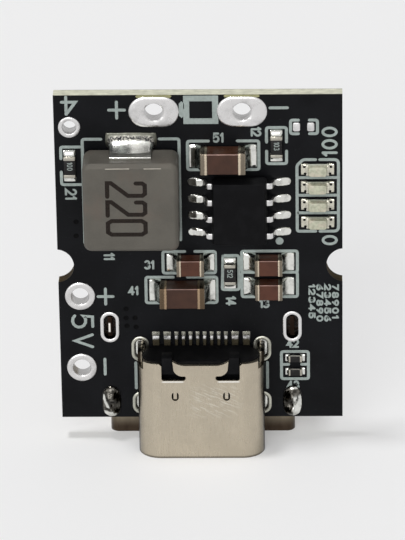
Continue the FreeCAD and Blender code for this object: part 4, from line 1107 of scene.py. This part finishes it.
def make_vias():
    """Lacquered-over holes: a low rim round a dimple. The chip's first lead has a printed dot."""
    form = bmesh.new()
    turns = [2 * math.pi * step / VIA_SIDES for step in range(VIA_SIDES)]
    rings = [[form.verts.new((VIA_RADIUS * share * math.cos(turn), VIA_RADIUS * share * math.sin(turn), z))
              for turn in turns] for share, z in VIA_PROFILE]
    for outer, inner in zip(rings, rings[1:]):
        for step in (*range(1, VIA_SIDES), 0):
            form.faces.new((outer[step - 1], outer[step], inner[step], inner[step - 1]))
    form.faces.new(rings[-1])
    form.faces.new(rings[0][::-1])
    mesh = scatter_tree().run("covered_vias", form, "via", VIA_PLACES)
    add_piece("covered_vias", mesh, "via")
    dot = bmesh.new()
    reach = FIRST_LEAD_DOT[2]
    mound(dot, -reach, reach, -reach, reach, lambda x, y: PRINT_HEIGHT, steps=(12, 12), roundness=1.0)
    shift(dot, 0, offset=(*FIRST_LEAD_DOT[:2], 0))
    add_piece("print_first_lead_dot", dot, "print")


# Plated holes and slots
PAD_DOME = 0.085


def make_terminals():
    """Plated wire holes, each with the radius of its hole."""
    holes = {
        "battery_plus_terminal": 0.65,
        "battery_minus_terminal": 0.65,
        "output_plus_terminal": 0.63,
        "output_minus_terminal": 0.63,
        "key_terminal": 0.475,
    }
    for node, radius in holes.items():
        spot = Spot(node)
        form = bmesh.new()
        plated_ring(form, spot.centre.x, spot.centre.y, (2 * radius, 2 * radius), (spot.size.x, spot.size.y),
                    PAD_DOME)
        add_piece(node + "_piece", form, "plating", (node,))


def make_leg_slots():
    """Plated slots: their centres up the board, the slot's width and length, and the pad's margin."""
    rows = {
        "inlet_leg_slots": (((1.15, 1.2), (5.4, 1.4)), 0.72, 0.28, "inlet_slot"),
        "outlet_leg_slots": (((1.27, 1.88), (7.12, 1.88)), 0.85, 0.25, "outlet_slot"),
    }
    for node, (legs, width, margin, finish) in rows.items():
        form = bmesh.new()
        reach = Spot(node).high.x - width / 2 - margin
        for side in (-1, 1):
            for y, length in legs:
                plated_ring(form, side * reach, y, (width, length), (width + 2 * margin, length + 2 * margin),
                            PAD_DOME)
        add_piece(node + "_piece", form, finish, (node,))


# From the outer edge of the output socket's leg pads to the middle of a leg
LEG_INSET = 0.675
# Open slots: their middle up the board, and the width and length of the dark film that is painted shade in
# them
OPEN_SLOT = (7.12, 0.84, 1.88)
FILM_DEPTHS = (-0.92, -0.80)
# Soldered legs: their middle up the board, and half the solder's width and length
LEG_SOLDER = (1.27, 0.69, 1.21)


def make_slot_shade_films():
    """A dark brown film, painted shade, that closes the output socket's two open slots near the board's back.
    """
    form = bmesh.new()
    y, width, length = OPEN_SLOT
    reach = Spot("outlet_leg_slots").high.x - LEG_INSET
    straight = (length - width) / 2
    for side in (-1, 1):
        x = side * reach
        ribbon(form, [(x, y - straight), (x, y + straight)], width, *FILM_DEPTHS, caps=8)
    add_piece("slot_flux_films", form, "flux")


# Half the patch's width, its reach over the pad, and its height
BARE_PATCH = 1.15
PATCH_OVERLAP = 0.06
PATCH_HEIGHT = 0.012


def make_bare_patches():
    """Uncovered fibreglass between the two battery pads and the board's edge."""
    form = bmesh.new()
    for node in ("battery_plus_terminal", "battery_minus_terminal"):
        spot = Spot(node)
        x = spot.centre.x
        edge = Spot("board").high.y
        low = spot.high.y - PATCH_OVERLAP
        y = (low + edge) / 2
        ribbon(form, [(x - BARE_PATCH, y), (x + BARE_PATCH, y)], edge - low, 0, PATCH_HEIGHT, caps=2)
    add_piece("bare_patches", form, "bare_laminate")


# Connectors
def make_inlet(look):
    """The shell, the plate in the tongue and the moulded housing of the charging inlet."""
    rounding = look.edge_rounding / MM
    rounded_copy("inlet_shell", "inlet_sheet", rounding)
    rounded_copy("inlet_mid_plate", "plate_sheet", 0.02)
    rounded_copy("inlet_housing", "moulding", 0.03)


def make_inlet_contacts():
    for kind in ("signal", "power"):
        rounded_copy(f"inlet_{kind}_contacts", "tail", 0.02, 1)


def make_outlet(look):
    """The shell, the moulded housing and the contacts of the output socket."""
    rounding = look.edge_rounding / MM
    rounded_copy("outlet_shell", "outlet_sheet", rounding)
    rounded_copy("outlet_housing", "moulding", 0.05)
    rounded_copy("outlet_contacts", "gilt", 0.03)


# Inductor, with its mark: where the first digit starts, its height and the width of its strokes
MARK_TEXT = "220"
MARK_PLACE = (-6.25, 19.56)
MARK_HEIGHT = 2.6
MARK_STROKE = 0.30
# Rubbed places along the top face's upper edge: where they start and end, across the board
SCUFFS = ((-6.34, -4.72), (-3.68, -2.52))


def make_inductor():
    """The pressed body with its mark and scuffs, and the two strips."""
    rounded_copy("inductor_body", "iron", 0.10, 3)
    rounded_copy("inductor_terminals", "strip", 0.05, 3)
    top = Spot("inductor_body").high.z
    form = bmesh.new()
    draw_signs(form, MARK_TEXT, *MARK_PLACE, MARK_HEIGHT, -90, MARK_STROKE, 0.66, 0.155,
               top - 0.01, top + 0.006, MARK_STROKES)
    add_piece("inductor_mark", form, "ink")
    body = copied("inductor_body")
    crest = max(vert.co.y for vert in body.verts if vert.co.z > top - 0.01)
    body.free()
    scuffs = bmesh.new()
    for start, end in SCUFFS:
        ribbon(scuffs, [(start, crest - 0.05), (end, crest - 0.04)], 0.07, top - 0.01, top + 0.004, caps=2)
    add_piece("inductor_scuffs", scuffs, "scratch")


# Converter chip
def make_converter_chip():
    """The moulded body with the dot at its first lead, and the leads."""
    spot = Spot("converter_chip_body")
    form = soften(copied("converter_chip_body"), 0.05, 2)
    add_piece("converter_chip_body_piece", form, "chip", ("converter_chip_body",))
    dot = bmesh.new()
    mound(dot, -0.3, 0.3, -0.3, 0.3, lambda x, y: 0.012, steps=(14, 14), roundness=1.0)
    shift(dot, 0, offset=(spot.high.x - 0.75, spot.low.y + 0.75, spot.high.z))
    add_piece("converter_chip_dot", dot, "chip")
    make_leads(spot)


# Leads of the chip
LEAD_PITCH = 1.27
LEAD_WIDTH = 0.42
LEAD_THICKNESS = 0.2
LEAD_BEND = 0.2
LEADS_IN_ROW = 4
# Length of a lead's flat foot, and how far its solder reaches past the foot
LEAD_FOOT = 0.6
LEAD_SOLDER = 0.62


def add_rows(node, form, spot, finish):
    """Repeats the form along both sides of the chip."""
    mesh = row_tree().run(node, form, finish, Count=LEADS_IN_ROW, Pitch=LEAD_PITCH)
    mesh.transform(Matrix.Translation((spot.centre.x, spot.centre.y, 0)))
    add_piece(node + "_piece", mesh, finish, (node,))


def make_leads(spot):
    """Gull-wing leads, one row on each side of the chip, each standing in its solder."""
    tip = Spot("converter_chip_leads").high.x - spot.centre.x
    parting = (spot.low.z + spot.high.z) / 2
    foot = PAD_HEIGHT + LEAD_THICKNESS / 2
    knee = tip - LEAD_FOOT
    path = bent_path([(spot.size.x / 2 - 0.3, parting), (knee - 0.14, parting), (knee + 0.02, foot),
                      (tip, foot)], LEAD_BEND)
    form = bmesh.new()
    ribbon(form, path, LEAD_THICKNESS, -LEAD_WIDTH / 2, LEAD_WIDTH / 2, caps=2)
    bmesh.ops.rotate(form, verts=form.verts, matrix=Matrix.Rotation(math.radians(90), 3, "X"))
    soften(form, 0.03, 2, 50)
    add_rows("converter_chip_leads", form, spot, "tin")

    def climb(x, y):
        past = max(0.0, (x - tip) / LEAD_SOLDER)
        wet = 0.07 + 0.20 * (1 - min(1.0, past)) ** 1.8
        return wet * (1 - 0.35 * smooth_step(LEAD_WIDTH / 2, LEAD_WIDTH / 2 + 0.12, abs(y)))
    solder = bmesh.new()
    half = LEAD_WIDTH / 2 + 0.13
    mound(solder, knee + 0.02, tip + LEAD_SOLDER, -half, half, climb, steps=(16, 10), roundness=0.8)
    add_rows("converter_chip_solder", solder, spot, "solder")


# Capacitors, resistors and their solder
def end_fillets(form, spot, reach, margin, climb, rng):
    """Solder at both ends of a part: a hollow fillet that thins out over its pad."""
    turned = spot.turned()
    length, width = (spot.size.y, spot.size.x) if turned else (spot.size.x, spot.size.y)
    wall = length / 2
    half = width / 2 + margin
    for side in (0, 1):
        lean = rng.uniform(-0.15, 0.15)
        full = climb * rng.uniform(0.86, 1.1)
        wet = rng.uniform(0.05, 0.09)

        def height(x, y):
            past = min(1.0, max(0.0, (x - wall) / reach))
            hollow = (1 - past) ** 2.4
            grip = 1 - smooth_step(width / 2 - 0.12, half, abs(y))
            rise = (full - PAD_HEIGHT) * hollow * grip * (1 + lean * y / half)
            return PAD_HEIGHT + wet * (0.4 + past) + rise
        form.verts.ensure_lookup_table()
        first = len(form.verts)
        mound(form, wall - 0.10, wall + reach, -half, half, height, steps=(18, 16), roundness=0.22)
        shift(form, first, math.radians(90 if turned else 0) + math.pi * side,
              (spot.centre.x, spot.centre.y, 0))


# How far the solder reaches past each part's ends
CAPACITOR_REACH = {"capacitor_1": 0.86, "capacitor_2": 0.86, "capacitor_3": 0.76, "capacitor_4": 0.8,
                   "capacitor_5": 0.8}
SMALL_CAPACITORS = ("capacitor_1", "capacitor_2", "capacitor_3")
RESISTOR_REACH = {"resistor_1": 0.44, "resistor_2": 0.44, "resistor_3": 0.44, "resistor_4": 0.25,
                  "resistor_5": 0.25}


CERAMIC_ROUNDING = 0.06


def mark_highlight_edge(mesh, spot):
    """Marks the rounding between a capacitor's face and its upper side, where a pale highlight is painted."""
    marked = []
    for vert in mesh.vertices:
        place = MODEL_TO_BOARD @ vert.co
        near = max(spot.high.y - place.y, spot.high.z - place.z)
        marked.append(1.0 if near < CERAMIC_ROUNDING * 0.7 else 0.0)
    mesh.attributes.new("edge", "FLOAT", "POINT").data.foreach_set("value", marked)


def mark_across(mesh, spot):
    """Notes for the finish how far out each point of the end caps is, from 0 at the ceramic to 1."""
    outer = spot.size.x / 2
    reach = [abs((MODEL_TO_BOARD @ vert.co).x - spot.centre.x) for vert in mesh.vertices]
    inner = min(reach)
    across = mesh.attributes.new("across", "FLOAT", "POINT")
    across.data.foreach_set("value", [(value - inner) / (outer - inner) for value in reach])


def make_capacitors():
    """Ceramic bodies and their end caps, on one piece of solder. The three small ones are redder."""
    solder = bmesh.new()
    rng = random.Random(7)
    for name, reach in CAPACITOR_REACH.items():
        kind = "small_ceramic" if name in SMALL_CAPACITORS else "ceramic"
        body = rounded_copy(name + "_body", kind, CERAMIC_ROUNDING, 3)
        mark_highlight_edge(body.data, Spot(name + "_body"))
        spot = Spot(name + "_ends")
        cap = "dull_end_cap" if name == "capacitor_4" else "end_cap"
        ends = rounded_copy(name + "_ends", cap, 0.11, 3)
        mark_across(ends.data, spot)
        end_fillets(solder, spot, reach, 0.09, spot.size.z * 0.62, rng)
    add_piece("capacitor_solder_piece", solder, "solder", ("capacitor_solder",))


RESISTOR_CODES = {"resistor_1": "103", "resistor_2": "100", "resistor_3": "512"}


def make_resistors():
    """Bars with their end caps, on one piece of solder. Three of them carry a code."""
    solder = bmesh.new()
    codes = bmesh.new()
    rng = random.Random(11)
    for name, reach in RESISTOR_REACH.items():
        rounded_copy(name + "_body", "resistor", 0.02)
        spot = Spot(name + "_body")
        end_fillets(solder, spot, reach, 0.07, spot.size.z * 0.8, rng)
        if name in RESISTOR_CODES:
            x, y = spot.centre.x - 0.15, spot.centre.y + 0.40
            draw_signs(codes, RESISTOR_CODES[name], x, y, 0.34, -90, 0.05, 0.8, 0.28,
                       spot.high.z - 0.005, spot.high.z + 0.004)
    rounded_copy("resistor_ends", "resistor_end", 0.03)
    add_piece("resistor_solder_piece", solder, "solder", ("resistor_solder",))
    add_piece("resistor_codes", codes, "print")


# Status lights: the two half holes at each end, from the light's middle
HALF_HOLES = ((0.93, 0.27), (0.86, -0.22))
# The resin creeps a little over the ends
LENS_SPREAD = 1.10


def add_light_holes(places):
    """Half holes in the ends of the lights, drawn as small sunk discs in dark painted shade."""
    top = Spot("status_light_ends").high.z
    disc = bmesh.new()
    mound(disc, -0.10, 0.10, -0.08, 0.08, lambda x, y: 0.01, base=top - 0.004, steps=(10, 10), roundness=1.0)
    mesh = scatter_tree().run("light_half_holes", disc, "via", places)
    add_piece("light_half_holes", mesh, "via")


def make_lights():
    """Bases and resin lenses, with half holes in the ends, on one piece of solder."""
    solder = bmesh.new()
    holes = []
    rng = random.Random(5)
    for number in (1, 2, 3, 4):
        name = f"status_light_{number}"
        rounded_copy(name + "_base", "light_base", 0.02)
        form = soften(copied(name + "_lens"), 0.06, 3)
        middle = Spot(name + "_lens").centre
        bmesh.ops.scale(form, vec=(LENS_SPREAD, 1, 1), verts=form.verts, space=Matrix.Translation(-middle))
        add_piece(name + "_lens_piece", form, "lens", (name + "_lens",))
        spot = Spot(name + "_base")
        end_fillets(solder, spot, 0.42, 0.03, 0.2, rng)
        holes += [(spot.centre.x + side * x, spot.centre.y + y) for side in (-1, 1) for x, y in HALF_HOLES]
    add_light_holes(holes)
    rounded_copy("status_light_ends", "light_end", 0.03)
    add_piece("status_light_solder_piece", solder, "light_end", ("status_light_solder",))


# Other solder
def make_big_solder():
    """The fillets of the inductor, over its strip ends."""
    spot = Spot("inductor_terminals")
    pads = Spot("inductor_solder")
    form = bmesh.new()
    half = pads.size.x / 2
    reach = (pads.size.y - spot.size.y) / 2
    for side in (0, 1):
        def height(x, y):
            past = min(1.0, max(0.0, (x - spot.size.y / 2) / reach))
            grip = 1 - smooth_step(spot.size.x / 2 - 0.2, half, abs(y))
            crown = 1 - 0.35 * (y / half) ** 2
            return 0.06 + 0.07 * past + 1.46 * (1 - past) ** 2.2 * grip * crown
        first = len(form.verts)
        mound(form, spot.size.y / 2 - 0.14, spot.size.y / 2 + reach, -half, half, height, steps=(26, 30),
              roundness=0.14)
        shift(form, first, math.radians(90) + math.pi * side, (spot.centre.x, spot.centre.y, 0))
    add_piece("inductor_solder_piece", form, "strip_solder", ("inductor_solder",))


def make_leg_solder():
    """The two soldered legs of the output socket: an uneven double drop with the leg's tip in it."""
    form = bmesh.new()
    reach = Spot("outlet_leg_slots").high.x - LEG_INSET
    y, half_width, half_length = LEG_SOLDER
    for side in (-1, 1):
        def height(x, z):
            upper = math.exp(-((x / 0.42) ** 2 + ((z - 0.42) / 0.50) ** 2))
            lower = math.exp(-(((x - 0.05) / 0.40) ** 2 + ((z + 0.72) / 0.36) ** 2))
            ridge = math.exp(-(((x + 0.16 + 0.22 * z) / 0.10) ** 2 + ((z - 0.05) / 0.62) ** 2))
            return 0.11 + 0.46 * upper + 0.38 * lower + 0.16 * ridge
        first = len(form.verts)
        mound(form, -half_width, half_width, -half_length, half_length, height, steps=(30, 40), roundness=0.9)
        shift(form, first, 0.0, (side * reach, y, 0), side > 0)
    add_piece("outlet_leg_solder_piece", form, "leg_solder", ("outlet_leg_solder",))
    rounded_copy("inlet_leg_solder", "solder", 0.03)


def make_tail_solder():
    """Small menisci under the tails of both connectors."""
    rounded_copy("inlet_tail_solder", "tail_solder", 0.015)
    rounded_copy("outlet_tail_solder", "solder", 0.015)
    rounded_copy("spare_pads", "plating", 0.03)


# Stage: the share of the floor's own light in the picture, and its level
FLOOR_GLOW = 0.28
FLOOR_GLOW_LEVEL = 1.0
WHITE = (1.0, 1.0, 1.0, 1.0)
FLOOR_REACH = 900
# Lamps: where they stand, and how wide they are seen, in degrees
KEY_PLACE = (-85, -6, 400)
KEY_SPREAD = 10
FILL_PLACE = (-92, -330, 150)
FILL_SPREAD = 45


def glow_in_view(finish):
    """Lifts the floor towards white where the camera, metal or glass sees it. Its light stays as it is."""
    output = next(node for node in finish.tree.nodes if node.type == "OUTPUT_MATERIAL")
    surface = Value(finish, output.inputs["Surface"].links[0].from_socket)
    glow = finish.node("Emission", {"Color": WHITE, "Strength": FLOOR_GLOW_LEVEL})
    mixed = finish.node("MixShader", {0: finish.seen() * FLOOR_GLOW, 1: surface, 2: glow})
    finish.feed(output.inputs["Surface"], mixed)


def make_floor(look):
    """A wide plain floor that the object stands on."""
    form = bmesh.new()
    bmesh.ops.create_grid(form, x_segments=2, y_segments=2, size=FLOOR_REACH * MM)
    mesh = bpy.data.meshes.new("floor")
    form.to_mesh(mesh)
    form.free()
    floor = bpy.data.objects.new("floor", mesh)
    floor.location = (0, 0, CAD_BOX[0].z)
    bpy.context.scene.collection.objects.link(floor)
    finish = Finish("floor", look.floor_colour, 0.6, 0.0, 0.1)
    finish.put(Base_Color=finish.tone(finish.noise(60.0, 2.0), 0.99, 1.01))
    glow_in_view(finish)
    mesh.materials.append(finish.material)


def make_stage(look):
    """The floor, the even light with the floor's colour behind it, two far lamps and the camera."""
    scene = bpy.context.scene
    make_floor(look)
    scene.world = bpy.data.worlds.new("studio")
    scene.world.use_nodes = True
    sky = Nodes(scene.world.node_tree)
    background = sky.tree.nodes["Background"]
    sky.feed(background.inputs["Color"], WHITE)
    sky.feed(background.inputs["Strength"], sky.seen().rise(0.0, 1.0, look.world_level, look.floor_colour[0]))
    add_lamp("key_light", look.key_power, KEY_PLACE, KEY_SPREAD)
    add_lamp("fill_light", look.fill_power, FILL_PLACE, FILL_SPREAD)
    add_camera()
    scene.view_settings.view_transform = "Standard"


def add_lamp(name, power, place, spread):
    """A far soft light that faces the middle of the board. The spread is its width in degrees."""
    lamp = bpy.data.lights.new(name, "SUN")
    lamp.energy = power
    lamp.angle = math.radians(spread)
    light = bpy.data.objects.new(name, lamp)
    light.location = Vector(place) * MM
    aim = (CAD_BOX[0] + CAD_BOX[1]) / 2 - light.location
    light.rotation_euler = aim.to_track_quat("-Z", "Y").to_euler()
    bpy.context.scene.collection.objects.link(light)


def add_camera():
    """The photograph's camera."""
    data = bpy.data.cameras.new("camera")
    data.sensor_width = SENSOR_SIZE
    data.lens = FOCAL_PIXELS * SENSOR_SIZE / PHOTO_HEIGHT
    data.clip_start = 0.01
    data.clip_end = 10.0
    camera = bpy.data.objects.new("camera", data)
    camera.location = Vector(CAMERA_PLACE) * MM
    camera.rotation_euler = Euler([math.radians(turn) for turn in CAMERA_TURN])
    bpy.context.scene.collection.objects.link(camera)
    bpy.context.scene.camera = camera


# Operators
class MODULE_OT_board(bpy.types.Operator):
    """Gives the board its lacquer and its bare edge"""
    bl_idname = "module.board"
    bl_label = "Board"

    def execute(self, context):
        dress("board", "solder_mask")
        make_vias()
        return {"FINISHED"}


class MODULE_OT_print(bpy.types.Operator):
    """Prints the outlines, signs and plain numbers on the board"""
    bl_idname = "module.print"
    bl_label = "Print"

    def execute(self, context):
        look = context.scene.module_board
        make_outlines(look)
        make_signs(look)
        make_numbers()
        return {"FINISHED"}


class MODULE_OT_terminals(bpy.types.Operator):
    """Makes the plated holes for wires and the plated slots for legs"""
    bl_idname = "module.terminals"
    bl_label = "Plated holes"

    def execute(self, context):
        make_terminals()
        make_leg_slots()
        make_slot_shade_films()
        make_bare_patches()
        return {"FINISHED"}


class MODULE_OT_inlet(bpy.types.Operator):
    """Makes the charging inlet on the front"""
    bl_idname = "module.inlet"
    bl_label = "Charging inlet"

    def execute(self, context):
        make_inlet(context.scene.module_metal)
        make_inlet_contacts()
        return {"FINISHED"}


class MODULE_OT_outlet(bpy.types.Operator):
    """Makes the output socket on the back"""
    bl_idname = "module.outlet"
    bl_label = "Output socket"

    def execute(self, context):
        make_outlet(context.scene.module_metal)
        return {"FINISHED"}


class MODULE_OT_inductor(bpy.types.Operator):
    """Makes the inductor with its marking and its two fillets"""
    bl_idname = "module.inductor"
    bl_label = "Inductor"

    def execute(self, context):
        make_inductor()
        make_big_solder()
        return {"FINISHED"}


class MODULE_OT_converter_chip(bpy.types.Operator):
    """Makes the converter chip with its eight leads"""
    bl_idname = "module.converter_chip"
    bl_label = "Converter chip"

    def execute(self, context):
        make_converter_chip()
        return {"FINISHED"}


class MODULE_OT_capacitors(bpy.types.Operator):
    """Makes the five capacitors and their solder"""
    bl_idname = "module.capacitors"
    bl_label = "Capacitors"

    def execute(self, context):
        make_capacitors()
        return {"FINISHED"}


class MODULE_OT_resistors(bpy.types.Operator):
    """Makes the five resistors and their solder"""
    bl_idname = "module.resistors"
    bl_label = "Resistors"

    def execute(self, context):
        make_resistors()
        return {"FINISHED"}


class MODULE_OT_lights(bpy.types.Operator):
    """Makes the four status lights and their solder"""
    bl_idname = "module.lights"
    bl_label = "Status lights"

    def execute(self, context):
        make_lights()
        return {"FINISHED"}


class MODULE_OT_solder(bpy.types.Operator):
    """Makes the solder of the connectors and the spare pads"""
    bl_idname = "module.solder"
    bl_label = "Connector solder"

    def execute(self, context):
        make_leg_solder()
        make_tail_solder()
        return {"FINISHED"}


class MODULE_OT_stage(bpy.types.Operator):
    """Sets up the floor, the lights and the camera"""
    bl_idname = "module.stage"
    bl_label = "Stage"

    def execute(self, context):
        make_stage(context.scene.module_stage)
        return {"FINISHED"}


OPERATORS = (
    MODULE_OT_stage,
    MODULE_OT_board,
    MODULE_OT_print,
    MODULE_OT_terminals,
    MODULE_OT_inlet,
    MODULE_OT_outlet,
    MODULE_OT_inductor,
    MODULE_OT_converter_chip,
    MODULE_OT_capacitors,
    MODULE_OT_resistors,
    MODULE_OT_lights,
    MODULE_OT_solder,
)


class MODULE_PT_panel(bpy.types.Panel):
    """Lists the settings and the makers of the module's pieces"""
    bl_idname = "MODULE_PT_panel"
    bl_label = "Power bank module"
    bl_space_type = "VIEW_3D"
    bl_region_type = "UI"
    bl_category = "Power bank"

    def draw(self, context):
        for group in SETTING_GROUPS:
            settings = getattr(context.scene, group)
            box = self.layout.box()
            for name in settings.__annotations__:
                box.prop(settings, name)
        for operator in OPERATORS:
            self.layout.operator(operator.bl_idname)


def register():
    for group, kind in SETTING_GROUPS.items():
        bpy.utils.register_class(kind)
        setattr(bpy.types.Scene, group, PointerProperty(type=kind))
    for kind in (*OPERATORS, MODULE_PT_panel):
        bpy.utils.register_class(kind)


def unregister():
    for kind in (MODULE_PT_panel, *reversed(OPERATORS)):
        bpy.utils.unregister_class(kind)
    for group, kind in SETTING_GROUPS.items():
        delattr(bpy.types.Scene, group)
        bpy.utils.unregister_class(kind)


def main():
    register()
    for operator in OPERATORS:
        group, name = operator.bl_idname.split(".")
        getattr(getattr(bpy.ops, group), name)()


if __name__ == "__main__":
    main()
